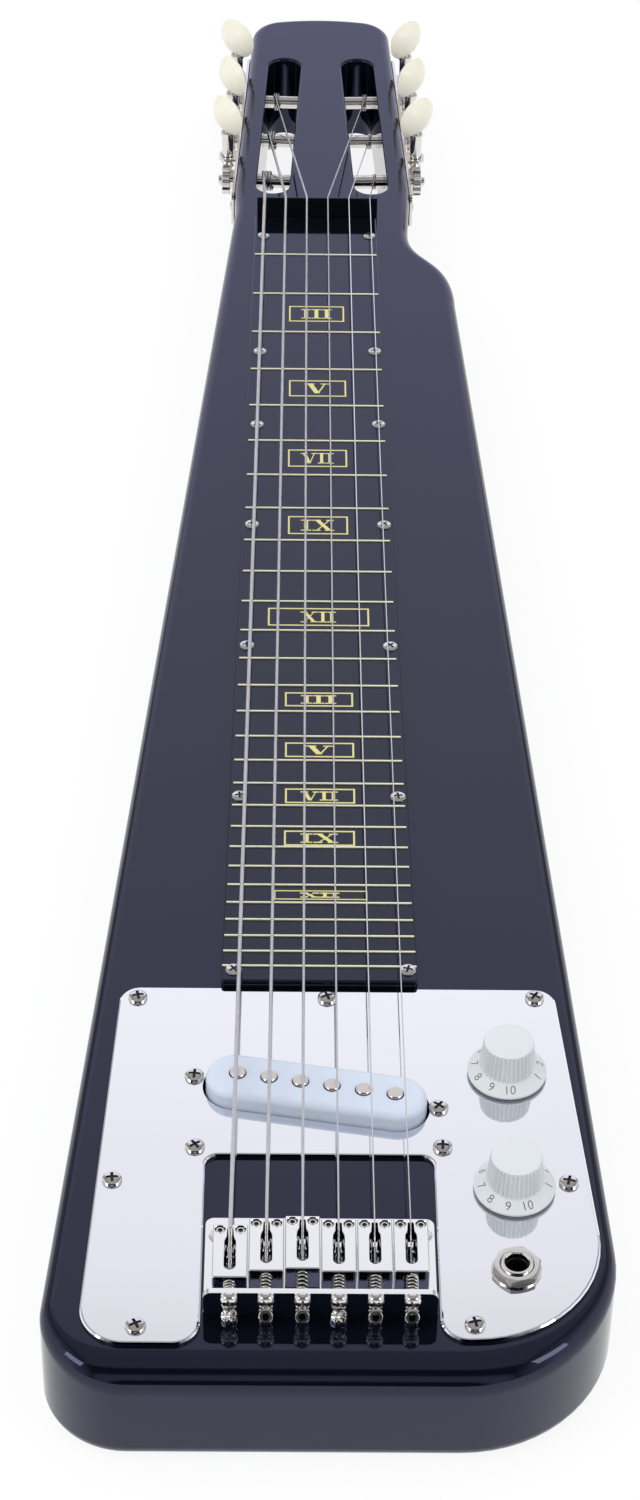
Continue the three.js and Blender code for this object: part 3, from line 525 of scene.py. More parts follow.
def body_rings(foot=6, edge=4.5, butt_extra=5):
    """The outline at each level. The round of its upper edge grows from the sides to the butt."""
    points = body_outline()
    inner = inset(points, 1)
    turns = [math.pi / 2 * step / 12 for step in range(13)]
    rings = []
    for t in turns[::2]:
        drawn_in, level = foot * (1 - math.sin(t)), foot * (1 - math.cos(t))
        rings.append([(*(p + (q - p) * drawn_in), level) for p, q in zip(points, inner)])
    for t in turns:
        ring = []
        for p, q in zip(points, inner):
            share = max((q - p).normalized().y, 0) ** 2 if p.y < BUTT_Y + 60 else 0
            radius = edge + butt_extra * share
            ring.append((*(p + (q - p) * radius * (1 - math.cos(t))), BODY_TOP - radius * (1 - math.sin(t))))
        rings.append(ring)
    return rings


def body_shape():
    shape = loft(body_rings())
    for side in SIDES:
        slot = spun(prism(stadium(*SLOT), slot_levels()), 90)
        shape = cut(shape, moved(shifted(slot, -side * SLOT_PLACE[0], SLOT_PLACE[1]), side_frame(side)))
        for row in ROWS:
            shape = cut(shape, moved(pin(3.4, -29, 2, 24), across(side, row * TUNER_PITCH)))
    well = prism(rectangle(43, 69.5, -593, -488, 9), [(8, 0), (BODY_TOP + 2, 0)])
    hollow = pickup_place(prism(stadium(88.2, 23.2), [(18, 0), (BODY_TOP + 2, 0)]))
    return cut(shape, well, hollow)


piece("body_shell", body_shape(), LACQUER, stands_for=["body"], sharp=28)


# Fretboard with its fret lines, numeral boxes and screws
def fret_y(number):
    return -SCALE_LENGTH * (1 - 2 ** (-number / 12))


BOARD_X = -0.2
FRETS = 28
board = outline([(BOARD_X + x, y, radius) for x, y, radius in (
    (-31, -465, 1), (31, -465, 1), (25.5, -1.05, 0.4), (-25.5, -1.05, 0.4))], 3)
piece("fretboard_strip", prism(board, rounded(SEAT, BOARD_TOP, 0, 0.6, 4)), BOARD,
      stands_for=["fretboard"])


def fret_lines(section):
    """A bar of this section across the board at every fret."""
    made = []
    for number in range(1, FRETS + 1):
        y = fret_y(number)
        half = 25.1 + 5.65 * number / FRETS
        ends = [BOARD_X + side * half for side in SIDES]
        made.append(loft([[(x, y + along, BOARD_TOP + z) for along, z in section] for x in ends]))
    return join(*made)


FRET_BAR = [(-0.12, -0.05), (-0.12, 0.3), (0.0, 0.42), (0.4, 0.42), (0.5, 0.3), (0.5, -0.05)]
# Painted shadow: a thin dark strip on the board under and around each fret bar.
FRET_SHADOW = [(-0.95, -0.05), (-0.9, 0.04), (0.85, 0.04), (0.9, -0.05)]
piece("fret_lines", fret_lines(FRET_BAR), FRET, sharp=20)
piece("fret_shadows", fret_lines(FRET_SHADOW), PAINTED_SHADE, sharp=20)

LETTERS = {
    "I": (0.52, [(0.26, 0, 0.26, 1, 0.2)], [(0, 0.52, 0), (0, 0.52, 1)]),
    "V": (1.1, [(0.24, 1, 0.57, 0, 0.23), (0.92, 1, 0.6, 0, 0.07)], [(0, 0.46, 1), (0.72, 1.1, 1)]),
    "X": (1.1, [(0.24, 1, 0.86, 0, 0.23), (0.88, 1, 0.22, 0, 0.07)],
          [(0, 0.44, 1), (0.7, 1.08, 1), (0.02, 0.42, 0), (0.64, 1.1, 0)]),
}


def stroke(corners, rise):
    return loft([[(x, y, BOARD_TOP + z) for x, y in corners] for z in (-0.02, rise)])


def numeral(text, y_low, height, width):
    natural = sum(LETTERS[letter][0] + 0.03 for letter in text)
    scale = width / natural
    x = 0.1 - width / 2
    strokes = []
    for letter in text:
        advance, stems, serifs = LETTERS[letter]
        for x0, y0, x1, y1, wide in stems:
            ends = [(x0 - wide / 2, y0), (x0 + wide / 2, y0), (x1 + wide / 2, y1), (x1 - wide / 2, y1)]
            rise = 0.10 + 0.02 * (wide > 0.1)
            strokes.append(stroke([(x + scale * u, y_low + height * v) for u, v in ends], rise))
        for u0, u1, v in serifs:
            low = y_low + (height - 0.5) * v
            strokes.append(stroke(rectangle(x + scale * u0, x + scale * u1, low, low + 0.5), 0.08))
        x += scale * (advance + 0.03)
    return join(*strokes)


def line_box(x0, x1, y0, y1, line):
    rings = []
    for amount, z in ((0, -0.02), (0, 0.09), (line, 0.09), (line, -0.02)):
        rings.append([(p.x, p.y, BOARD_TOP + z) for p in inset(rectangle(x0, x1, y0, y1), amount)])
    return loft(rings, looped=True)


MARKERS = [
    ("III", -11.1, 11.2, -83.0, -71.6, 6.8, 12.6), ("V", -10.95, 11.5, -136.9, -125.7, 6.8, 10),
    ("VII", -11.15, 11.4, -184.6, -173.3, 6.8, 12.8), ("IX", -11.0, 11.3, -227.8, -216.6, 6.8, 12.7),
    ("XII", -18, 18.3, -283.0, -272.7, 6.2, 12.95), ("III", -11.7, 12, -328.5, -320.85, 4.6, 12.6),
    ("V", -11.55, 12.05, -355.8, -348.1, 4.6, 10), ("VII", -11.45, 12.1, -379.7, -372.2, 4.6, 12.8),
    ("IX", -11.7, 11.8, -401.05, -393.6, 4.6, 12.7), ("XII", -14.8, 15.5, -427.3, -422.9, 2.4, 12.95),
]
marks = []
for text, x0, x1, y0, y1, tall, wide in MARKERS:
    marks.append(line_box(x0, x1, y0, y1, 0.62 if tall > 3 else 0.45))
    marks.append(numeral(text, (y0 + y1 - tall) / 2, tall, wide))
piece("fret_markers", join(*marks), GOLD, sharp=20)


# Screws with a domed head and a cross recess
def cross(reach, half):
    return [Vector(p) for p in (
        (-half, -reach), (half, -reach), (half, -half), (reach, -half), (reach, half), (half, half),
        (half, reach), (-half, reach), (-half, half), (-reach, half), (-reach, -half), (-half, -half))]


def screw_head(radius, rise):
    profile = [(radius * 0.96, -0.05), (radius, 0.1 * rise)]
    for step in range(1, 8):
        angle = math.pi / 2 * step / 8
        profile.append((radius * math.cos(angle), rise * (0.3 + 0.7 * math.sin(angle))))
    profile.append((radius * 0.05, rise))
    recess = prism(cross(radius * 0.64, radius * 0.16), [(rise * 0.1, radius * 0.05), (rise * 1.2, 0)])
    return cut(lathe(profile, 40), recess)


def recess_shade(radius, rise):
    """Painted shade: a dark solid at the bottom of a cross recess."""
    return prism(cross(radius * 0.6, radius * 0.135), [(rise * 0.12, radius * 0.05), (rise * 0.55, 0)])


# Screws of the fretboard and the plate, each turned at random
BOARD_SCREWS = [
    (-21.8, -17.2), (22.2, -16.8), (-22.6, -105.5), (23.1, -104.8), (-23.2, -156.8), (23.8, -156.05),
    (-24.4, -222.2), (24.7, -221.9), (-25.3, -294.8), (25.5, -294.7), (-26.7, -376.4), (26.5, -376.3),
    (-27.3, -460.3), (27.8, -459.95),
]
PLATE_SCREWS = [
    (-57.2, -470.5), (2.2, -470.3), (67.5, -469.7), (-38.6, -504.6), (35.8, -517.3), (-37.7, -534),
    (36.5, -533.6), (-61.9, -547.4), (73.5, -547.6), (-52.8, -603.1), (43.5, -601.8),
]
for kind, size, places, level in (("fretboard", (2.6, 1.0), BOARD_SCREWS, BOARD_TOP),
                                  ("plate", (3.0, 1.7), PLATE_SCREWS, PLATE_TOP)):
    turns = [dice.uniform(0, 90) for _ in places]
    # Next to each set of heads, a dark solid in every cross recess is painted shade.
    for part, shape, material in (("s", screw_head(*size), NICKEL),
                                  ("_recess_shades", recess_shade(*size), PAINTED_SHADE)):
        copies = [shifted(spun(shape, turn), *place, level) for turn, place in zip(turns, places)]
        piece(f"{kind}_screw{part}", join(*copies), material, sharp=30)


# Nut: an angle strip with an upright front and one groove for each string
def nut_shape():
    front = -1
    section = outline([(front, SEAT, 0), (NUT_FOOT, SEAT, 0), (0, NUT_TOP, 0.3), (front, NUT_TOP, 0.3)], 3)
    shape = loft([[(NUT_X_OFFSET + side * 25.3, p.x, p.y) for p in section] for side in SIDES])
    for x, thick in zip(NUT_X, THICK):
        groove = rod(thick / 2 + 0.05, -3, 4, 16)
        shape = cut(shape, shifted(groove, x, 0, NUT_TOP + thick / 2 - STRING_DROP))
    return shape


piece("nut_block", nut_shape(), NUT, stands_for=["nut"])


# Control plate
def control_plate_shape():
    corners = [
        (-62.6, -465.3, 6.5), (-69.7, -609.2, 13), (-34.6, -609.2, 8), (-34.6, -537, 4),
        (33.8, -537, 4), (33.8, -607.5, 8), (84.4, -607.5, 38), (73.6, -465.3, 6.5),
    ]
    levels = [(SEAT, 0), (PLATE_TOP - 0.5, 0), (PLATE_TOP - 0.12, 0.45), (PLATE_TOP, 0.85)]
    shape = prism(outline(corners, 14), levels)
    low, high = 36, 42
    opening = pickup_place(prism(stadium(70, 20), [(low, 0), (high, 0)]))
    holes = [shifted(pin(3.8, low, high), KNOB_X, y) for _, y, _ in KNOBS]
    return cut(shape, opening, *holes, shifted(pin(5, low, high), *JACK))


piece("plate_bevelled", control_plate_shape(), MIRROR, stands_for=["control_plate"],
      sharp=12)


# Pickup
COVER = (68, 18)
COVER_WALL = 1.2
COVER_HEIGHT = 13
POLE_X = [(k - 2.5) * 9.7 for k in STRINGS]


def pickup_cover_shape():
    low = PICKUP_TOP - COVER_HEIGHT
    shape = prism(stadium(*COVER, 20), rounded(low, PICKUP_TOP, 0, 2.6, 8))
    inner = stadium(*[size - 2 * COVER_WALL for size in COVER], 16)
    cavity = prism(inner, [(low - 2, 0), (PICKUP_TOP - COVER_WALL, 0)])
    holes = [shifted(pin(2.7, PICKUP_TOP - 5, PICKUP_TOP + 2), x, 0) for x in POLE_X]
    return pickup_place(cut(shape, cavity, *holes))


def pickup_core_shape():
    flat_top = PICKUP_TOP - COVER_HEIGHT - 0.3
    flat = prism(stadium(85, 20), rounded(flat_top - 2.4, flat_top, 0.3, 0.3, 2))
    coil = prism(stadium(62, 12), rounded(flat_top, PICKUP_TOP - 1.5, 0, 0.6, 2))
    return pickup_place(join(flat, coil))


piece("pickup_cover_shell", pickup_cover_shape(), ICE, "pickup", ["pickup_cover"])
piece("pickup_bobbin", pickup_core_shape(), CORE, "pickup", ["pickup_core"])
pole_pin = pin(2.4, PICKUP_TOP - 16.2, PICKUP_TOP + 0.8, 36, 0.3)
poles = join(*[shifted(pole_pin, x, 0) for x in POLE_X])
piece("pickup_poles", pickup_place(poles), POLE, "pickup", sharp=25)

# Knobs: ribbed grip on a conical skirt that carries the numbers
KNOB_LOW = PLATE_TOP + 0.8
RIBS = 38
CONE = ((12.05, 0.95), (8.75, 3.15))


def knob_shape(y):
    profile = [(3.05, 10, 0), (3.05, 5.6, 0), (6, 5.6, 0), (6, 0, 0), (11.9, 0, 0), (12.15, 0.25, 0)]
    profile += [(12.15, 0.75, 0), (*CONE[0], 0), (*CONE[1], 0), (8.6, 3.35, 0), (8.55, 3.6, 1)]
    profile += [(8.55 - 0.75 * step / 6, 3.6 + 8.6 * step / 6, 1) for step in range(1, 7)]
    profile += [(7.72, 12.7, 0.6), (7.5, 13.05, 0.1), (7.1, 13.2, 0), (5.5, 13.3, 0), (3, 13.37, 0)]
    profile += [(0.6, 13.4, 0)]
    grooves = [(t, 0.5 * (0.5 - 0.5 * math.cos(RIBS * t)) ** 0.8) for t in around(RIBS * 6)]
    rings = [[at_angle(radius - rib * depth, t, z) for t, depth in grooves] for radius, z, rib in profile]
    return shifted(loft(rings), KNOB_X, y, KNOB_LOW)


def lettering(text, height):
    data = bpy.data.curves.new("lettering", "FONT")
    data.body = text
    data.size = height / 0.72
    data.align_x = "CENTER"
    data.align_y = "CENTER"
    data.resolution_u = 4
    data.offset = -0.022 * height
    data.extrude = 0.03
    holder = bpy.data.objects.new("lettering", data)
    scene.collection.objects.link(holder)
    work = bmesh.new()
    work.from_mesh(finished_mesh(holder))
    bmesh.ops.remove_doubles(work, verts=work.verts, dist=1e-4)
    shape = [v.co.copy() for v in work.verts], [tuple(v.index for v in f.verts) for f in work.faces]
    work.free()
    bpy.data.objects.remove(holder)
    return shape


def on_cone(shape, degrees):
    (outer, low), (inner, high) = CONE
    slope = math.atan2(high - low, outer - inner)
    middle = (outer + inner) / 2 - 0.15
    points = []
    for p in shape[0]:
        radius = middle - p.y * math.cos(slope)
        angle = math.radians(degrees) + p.x / radius
        level = low + (outer - radius) * math.tan(slope) + p.z
        points.append(at_angle(radius, angle, level))
    return points, shape[1]


def knob_numbers(y, turned):
    made = []
    for number in range(1, 11):
        made.append(on_cone(lettering(str(number), 2.75), turned - 88 - 33 * (10 - number)))
    return shifted(join(*made), KNOB_X, y, KNOB_LOW)


for role, y, turned in KNOBS:
    control = role + "_control"
    piece(role + "_knob_ribbed", knob_shape(y), MINT, control, [role + "_knob"], sharp=40)
    piece(role + "_knob_numbers", knob_numbers(y, turned), INK, control, sharp=20)


# Output jack
def jack_shape():
    top = BODY_TOP
    mouth = PLATE_TOP + 3.6
    profile = [(3.45, top - 23.5), (3.45, mouth - 0.4), (3.75, mouth), (4.4, mouth)]
    z = mouth - 0.25
    while z > top + 0.4:
        profile += [(4.7, z), (4.45, z - 0.25)]
        z -= 0.5
    profile += [(4.7, top), (6.9, top), (7, top - 0.2), (7, top - 25), (0.5, top - 25)]
    return lathe(profile, 48)


def hex_nut(height=2.2):
    corners = [7.33 * Vector((math.cos(t + 0.25), math.sin(t + 0.25))) for t in around(6)]
    body = prism(corners, [(0, 0), (height, 0)])
    crown = lathe([(7.4, -1), (7.4, height - 0.75), (6.25, height), (6.25, height + 0.01)], 64)
    body = combined(body, [crown], "INTERSECT")
    return cut(body, lathe([(5.1, -1), (4.8, 0.2), (4.8, height - 0.3), (5.3, height + 0.2)], 40))


def contact_shape():
    top = BODY_TOP
    path = [Vector((0, y, top - drop)) for y, drop in ((3.1, 20), (2.9, 9), (2, 5), (3.1, 2.5))]
    return tube(eased(path, 1.5), 0.5, 10)


washer = cut(pin(7.3, 0, 0.6, 64, 0.12), pin(4.8, -1, 2, 48))
# Painted shade: a dark lining inside the bore of the jack.
bore_shade = cut(pin(3.44, BODY_TOP - 23, PLATE_TOP + 1.2, 40), pin(3.2, BODY_TOP - 22, 60, 40))
for name, shape, level, material, stands_for in (
        ("bush", jack_shape(), 0, NICKEL, ["output_jack"]),
        ("washer_ring", washer, PLATE_TOP + SEAT_GAP, NICKEL, ["jack_washer"]),
        ("hex_nut", hex_nut(), PLATE_TOP + 0.7, NICKEL, ["jack_nut"]),
        ("contact", contact_shape(), 0, STEEL, ()),
        ("bore_shade", bore_shade, 0, PAINTED_SHADE, ())):
    piece("jack_" + name, shifted(shape, *JACK, level), material, stands_for=stands_for)

# Bridge
REAR = -598.8
WALL = REAR + 1.8
WALL_HEIGHT = 11
BRIDGE_LEFT, BRIDGE_RIGHT = -33.8, 33.0
BRIDGE_SCREWS = [(-29.4, -569.2), (29.0, -568.4)]
HOLE_Z = BRIDGE_TOP + 1.3
SCREW_Z = BRIDGE_TOP + 7.1


def bridge_outline(low, high, radius=2.5):
    """A rectangle of the bridge's width that is rounded at its high corners."""
    return outline([(BRIDGE_LEFT, low, 0), (BRIDGE_RIGHT, low, 0), (BRIDGE_RIGHT, high, radius),
                    (BRIDGE_LEFT, high, radius)], 8)


def bridge_shape():
    base = prism(bridge_outline(REAR, BRIDGE_FAR), [(SEAT, 0), (BRIDGE_TOP, 0)])
    face = bridge_outline(SEAT, SEAT + WALL_HEIGHT)
    wall = loft([[(p.x, y, p.y) for p in face] for y in (REAR, WALL)])
    sunk = lathe([(2.6, BRIDGE_TOP - 0.9), (3.55, BRIDGE_TOP + 0.1)], 40)
    shape = cut(fused(base, wall), *[shifted(sunk, *place) for place in BRIDGE_SCREWS])
    for x in SADDLE_X:
        hole = shifted(rod(1.2, -3, 5, 20), x, WALL, HOLE_Z)
        guide = shifted(rod(1.5, -3, 5), x, WALL, SCREW_Z)
        shape = cut(shape, hole, guide)
    return softened(shape, 0.3)


piece("bridge_base", bridge_shape(), CHROME, stands_for=["bridge_plate"])
mount_head = cut(lathe([(2.3, -0.85), (3.1, -0.45), (3.0, -0.2), (2.2, -0.06), (0.3, -0.03)], 40),
                 prism(cross(1.9, 0.42), [(-0.5, 0.12), (0.2, 0)]))
mount_heads = join(*[shifted(mount_head, *place, BRIDGE_TOP) for place in BRIDGE_SCREWS])
piece("bridge_mounting_screws", mount_heads, NICKEL)


# Saddles with their grub screws, intonation bolts and springs
SADDLE_HALF = 5.05
BACK = [front - SADDLE_LENGTH for front in FRONT]
GRUB_X = 2.95
GRUB_Y = -2.1
BOLT_HEAD = 2.2
BOLT_BACK = REAR - SEAT_GAP


def saddle_shape(k):
    low = BRIDGE_TOP + 1
    plan = rectangle(-SADDLE_HALF, SADDLE_HALF, -SADDLE_LENGTH, 0, 0.5, 4)
    shape = prism(plan, rounded(low, SADDLE_TOP, 0.3, 0.45, 4))
    mouth = [(low - 2, 0), (SADDLE_TOP - 0.3, 0), (SADDLE_TOP + 0.1, -0.25)]
    slot = prism(rectangle(-1.55, 1.55, -17, -5.6, 1.54, 10), mouth)
    neck = prism(outline([(-1.5, -7.5, 0), (1.5, -7.5, 0), (1.5, -6.2, 0), (0.85, -4.6, 1), (0.7, -1.6, 0.3),
                          (-0.7, -1.6, 0.3), (-0.85, -4.6, 1), (-1.5, -6.2, 0)], 4), mouth)
    undercut = block(-1.5, 1.5, -22, -16.6, low - 2, BRIDGE_TOP + 5.3)
    nick = block(-THICK[k] / 2 - 0.05, THICK[k] / 2 + 0.05, -4, 1, SADDLE_TOP - 0.3, SADDLE_TOP + 2)
    passage = shifted(rod(1.5, -6, 6), 0, 1 - SADDLE_LENGTH, SCREW_Z)
    shape = cut(shape, slot, neck, undercut, nick, passage)
    for side in SIDES:
        shape = cut(shape, shifted(pin(1.6, low - 2, SADDLE_TOP + 1, 28), side * GRUB_X, GRUB_Y))
    return shifted(shape, SADDLE_X[k], FRONT[k])


def grub_shapes(k):
    """The two grub screws of a saddle, and painted shade at the bottoms of their sockets: a dark solid in
    each.
    """
    bodies, shades = [], []
    rise = SADDLE_TOP - 0.3
    profile = [(0.7, BRIDGE_TOP + 0.05), (1.4, BRIDGE_TOP + 0.5), (1.42, rise - 0.3), (1.1, rise)]
    for side in SIDES:
        turn = dice.uniform(0, 60)
        socket = spun(pin(0.8, SADDLE_TOP - 3, SADDLE_TOP + 1, 6), turn)
        shade = spun(pin(0.74, SADDLE_TOP - 2.9, rise - 0.35, 6), turn)
        at = (SADDLE_X[k] + side * GRUB_X, FRONT[k] + GRUB_Y)
        bodies.append(shifted(cut(lathe(profile), socket), *at))
        shades.append(shifted(shade, *at))
    return join(*bodies), join(*shades)


def thread(radius, low, high, pitch, depth, hand=1, sides=20):
    rings = []
    steps = int((high - low) / pitch * 6)
    for step in range(steps + 1):
        z = low + (high - low) * step / steps
        ring = []
        for angle in around(sides):
            wave = math.cos(hand * angle - 2 * math.pi * (z - low) / pitch)
            ring.append(at_angle(radius - depth * (0.5 - 0.5 * wave), angle, z))
        rings.append(ring)
    return rings


def intonation_screw_shape(k):
    length = BOLT_HEAD + (BACK[k] + 4.5) - BOLT_BACK
    head = [(0.4, 0.0), (1.3, 0.05), (1.9, 0.3), (2.3, 0.8), (2.4, 1.3), (2.4, 2.0), (2.3, BOLT_HEAD)]
    rings = circles(head, 20) + thread(1.2, BOLT_HEAD, length - 0.4, 0.5, 0.2) + circles([(0.8, length)], 20)
    recess = prism(cross(1.45, 0.36), [(-0.5, 0), (0.95, 0.16)])
    shape = spun(cut(loft(rings), recess), dice.uniform(0, 90))
    return shifted(spun(shape, -90, "X"), SADDLE_X[k], BOLT_BACK - BOLT_HEAD, SCREW_Z)


def spring_path(k, curls, radius=1.55, wire=0.6, closed=0.75):
    """A helix from the wall to the saddle, with part of a closed turn at each end."""
    low = WALL + wire / 2 + SEAT_GAP
    high = BACK[k] - wire / 2 - SEAT_GAP
    points = []
    steps = int(24 * (curls + 2 * closed))
    for step in range(steps + 1):
        turns = (curls + 2 * closed) * step / steps
        share = min(max((turns - closed) / curls, 0), 1)
        ends = min(turns, closed) - closed + max(turns - closed - curls, 0)
        y = low + 0.3 + share * (high - low - 0.6) + ends * 0.4
        angle = 2 * math.pi * turns + k
        x, z = SADDLE_X[k] + radius * math.cos(angle), SCREW_Z + radius * math.sin(angle)
        points.append(Vector((x, y, z)))
    return points


def refinish(made, material, chosen):
    """Paints light and shade on the chosen faces of a piece with a second, darker finish."""
    made.data.materials.append(material)
    for face in made.data.polygons:
        if chosen(face):
            face.material_index = 1


def row_point(x, y, z):
    return TO_ROW @ Vector((x, y, z))


WALL_Y = row_point(0, WALL - 0.5, 0).y
for k in STRINGS:
    number = k + 1
    saddle_body = f"saddle_{number}"
    saddle = piece(f"saddle_block_{number}", saddle_shape(k), CHROME, saddle_body,
                   [saddle_body])
    # Painted reflection: the rear faces of the saddle take a darker chrome.
    refinish(saddle, DARK_REFLECTION_CHROME, lambda face: face.normal.y < -0.9)
    grubs, grub_shades = grub_shapes(k)
    piece(f"saddle_grubs_{number}", grubs, NICKEL, saddle_body)
    # Painted shade: a dark solid at the bottom of each grub socket.
    piece(f"saddle_grub_socket_shades_{number}", grub_shades, PAINTED_SHADE, saddle_body)
    bolt_body = f"intonation_screw_{number}"
    bolt = piece(f"intonation_bolt_{number}", intonation_screw_shape(k), NICKEL, bolt_body,
                 [bolt_body])
    # Painted shade: the shaft ahead of the wall is darker than the head behind it.
    refinish(bolt, SHADED_BOLT, lambda face: face.center.y > WALL_Y)
    curls = max(2.5, min(4.0, (BACK[k] - WALL) / 1.55))
    spring = piece(f"spring_coil_{number}", tube(spring_path(k, curls), 0.3), STEEL,
                   rides=None, stands_for=[f"intonation_spring_{number}"])
    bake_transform(spring)


# Strings, in two lengths that meet at the saddle's break edge, with the turns on each roller
TUNERS = [(-1, -1), (-1, 0), (-1, 1), (1, 1), (1, 0), (1, -1)]
INSETS = [1.8, 2.2, 3, 3.6, 3.4, 3.6]
SLOT_WALL = 9.3
POST_RADIUS = 3
WOUND_STRINGS = 4


def ball_shape(k):
    half = [(0.95, -1.4), (1.2, -1.7), (1.8, -1.7), (2.05, -1.4), (2.05, -1.0), (1.6, -0.6)]
    ring = lathe(half + [(radius, -z) for radius, z in half[::-1]], looped=True)
    lap_path = [at_angle(1.7, 2.2 + 0.3 * step) for step in range(15)]
    lap = tube(lap_path, min(THICK[k] / 2, 0.35), 8)
    eye = spun(spun(join(ring, lap), 62 if k in (0, 3) else 0, "Y"), 38, "X")
    collar = tube([Vector((0, 1.4, 0)), Vector((0, 2.4, 0))], min(THICK[k] * 0.75, 1.1), 14)
    return shifted(join(eye, collar), SADDLE_X[k], REAR - 1.95, HOLE_Z)


def winding(k):
    side, row = TUNERS[k]
    diameter = THICK[k]
    radius = POST_RADIUS + diameter / 2 + 0.1
    start = -(SLOT_WALL + INSETS[k])
    row_frame = side_frame(side)
    along = row * TUNER_PITCH
    nut_point = Vector((NUT_X[k], 0, NUT_TOP + diameter / 2 - STRING_DROP))
    axis = row_frame @ Vector((side * start, along, ROLLER_Z))
    back, up = nut_point.y - axis.y, nut_point.z - axis.z
    first = math.atan2(back, up) + math.acos(radius / math.hypot(back, up))
    path = []
    loops = 2.6
    pitch = diameter + 0.12
    steps = int(36 * loops)
    for step in range(steps + 1):
        turns = loops * step / steps
        angle = first + turns * 2 * math.pi
        reach = start - turns * pitch
        local = Vector((side * reach, along + radius * math.sin(angle), ROLLER_Z + radius * math.cos(angle)))
        path.append(row_frame @ local)
    centre = row_frame @ Vector((side * (start - loops * pitch - diameter), along, ROLLER_Z))
    path += [path[-1].lerp(centre, 0.35), path[-1].lerp(centre, 0.8)]
    return nut_point, path


for k in STRINGS:
    number = k + 1
    radius = THICK[k] / 2
    material = WOUND if k < WOUND_STRINGS else WIRE
    x = SADDLE_X[k]
    rest_z = SADDLE_TOP + radius - 0.25
    break_y = FRONT[k] - 2.2
    nut_point, wound = winding(k)
    rear = [Vector((x, y, z)) for y, z in (
        (REAR - 0.4, HOLE_Z), (WALL + radius, HOLE_Z), (FRONT[k] - 10.5, BRIDGE_TOP + 5.1 - radius),
        (break_y - 1.2, rest_z - 0.3), (break_y, rest_z))]
    leaving = rear[-1]
    nut_front = nut_point + (leaving - nut_point).normalized()
    front = [leaving.lerp(nut_front, share) for share in (0, 0.01, 0.03, 0.06, 0.1, 0.4, 0.7, 1)]
    front += [nut_point, wound[0]]
    saddle_body = f"saddle_{number}"
    tail = piece(f"string_tail_{number}", tube(eased(rear, 2.0), radius, 14), material,
                 rides=None)
    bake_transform(tail)
    wire = piece(f"string_wire_{number}", tube(eased(front, 0.8, 3), radius, 14), material,
                 rides=None, stands_for=[f"string_{number}"])
    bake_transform(wire)
    piece(f"string_ball_{number}", ball_shape(k), NICKEL)
    piece(f"string_turns_{number}", tube(wound, radius * 0.98), material, f"roller_{number}")

# Tuners: plates with ears, rollers with a gear, worms and buttons
WORM_Y = 9.6
WORM_X = 5.0
EAR = 1.3
EAR_HIGH = ROLLER_Z + 5.55
EAR_LOW = ROLLER_Z - 5.55 - EAR
STRIP_FACES = (0.05, 1.25)
GEAR_TEETH = 12
TOOTH = ((0.04, 5.3), (0.2, 5.65), (0.3, 6.25), (0.36, 6.4), (0.48, 6.4), (0.54, 6.25), (0.64, 5.65),
         (0.8, 5.3))
BUTTON_Z = BODY_TOP + 15.3
BUTTON_SEAT = BUTTON_Z - 8.6 + 0.6
TURNED = [48, 52, 40, 44, 50, 42]


def tuner_plate_shape(side):
    half_length, half_height = 62, 8
    face = rectangle(-half_length, half_length, ROLLER_Z - half_height, ROLLER_Z + half_height, 3)
    shape = loft([[(side * reach, p.x, p.y) for p in face] for reach in STRIP_FACES])
    for row in ROWS:
        y = row * TUNER_PITCH + WORM_Y
        for z in (EAR_HIGH, EAR_LOW):
            ear = outline([(0.4, y - 4, 0), (8.85, y - 4, 2.6), (8.85, y + 4, 2.6), (0.4, y + 4, 0)], 6)
            if side < 0:
                ear = [Vector((-p.x, p.y)) for p in ear][::-1]
            shape = fused(shape, prism(ear, [(z, 0), (z + EAR, 0)]))
        stem = shifted(pin(2.8, EAR_HIGH - 2, EAR_HIGH + 3, 28), side * WORM_X, y)
        foot = shifted(pin(1.9, EAR_LOW - 2, EAR_LOW + 3, 24), side * WORM_X, y)
        shape = cut(shape, stem, foot)
    for row in ROWS:
        shape = cut(shape, shifted(rod(3.4, -3, 3, 28, "Y"), 0, row * TUNER_PITCH, ROLLER_Z))
    return moved(softened(shape, 0.22), side_frame(side))


SMALL_SCREW = screw_head(1.9, 1.0)


def tuner_screws(side):
    made = []
    for y in (-57, -14, 21.5, 57.5):
        screw = shifted(spun(SMALL_SCREW, dice.uniform(0, 90)), 0, 0, STRIP_FACES[1])
        made.append(moved(screw, across(side, y)))
    return join(*made)


for side, name in ((-1, "left"), (1, "right")):
    piece(f"tuner_strip_{name}", tuner_plate_shape(side), NICKEL,
          stands_for=[f"tuner_plate_{name}"])
    piece(f"tuner_screws_{name}", tuner_screws(side), NICKEL, sharp=30)


def gear_shape():
    teeth = []
    for tooth in range(GEAR_TEETH):
        for share, radius in TOOTH:
            angle = 2 * math.pi * (tooth + share) / GEAR_TEETH
            teeth.append(Vector((radius * math.cos(angle), radius * math.sin(angle))))
    return prism(teeth, [(3.2, 0.35), (3.5, 0), (6.5, 0), (6.8, 0.35)])


def roller_shape():
    post = [(2.7, -28.6), (3, -28.2), (3, -25), (2.85, -24.5), (2.85, -9.5), (3, -9), (3, 1.5)]
    post += [(4, 1.55), (4, 3.3)]
    return cut(lathe(post, 40), shifted(rod(0.85, -4, 4, 16), 0, 0, -14.6))


def gear_screw_shape():
    head = lathe([(1.7, 6.75), (1.8, 7.2), (1.8, 8.2), (1.5, 8.55), (0.4, 8.6)])
    return cut(head, block(-2.5, 2.5, -0.3, 0.3, 8.0, 9))


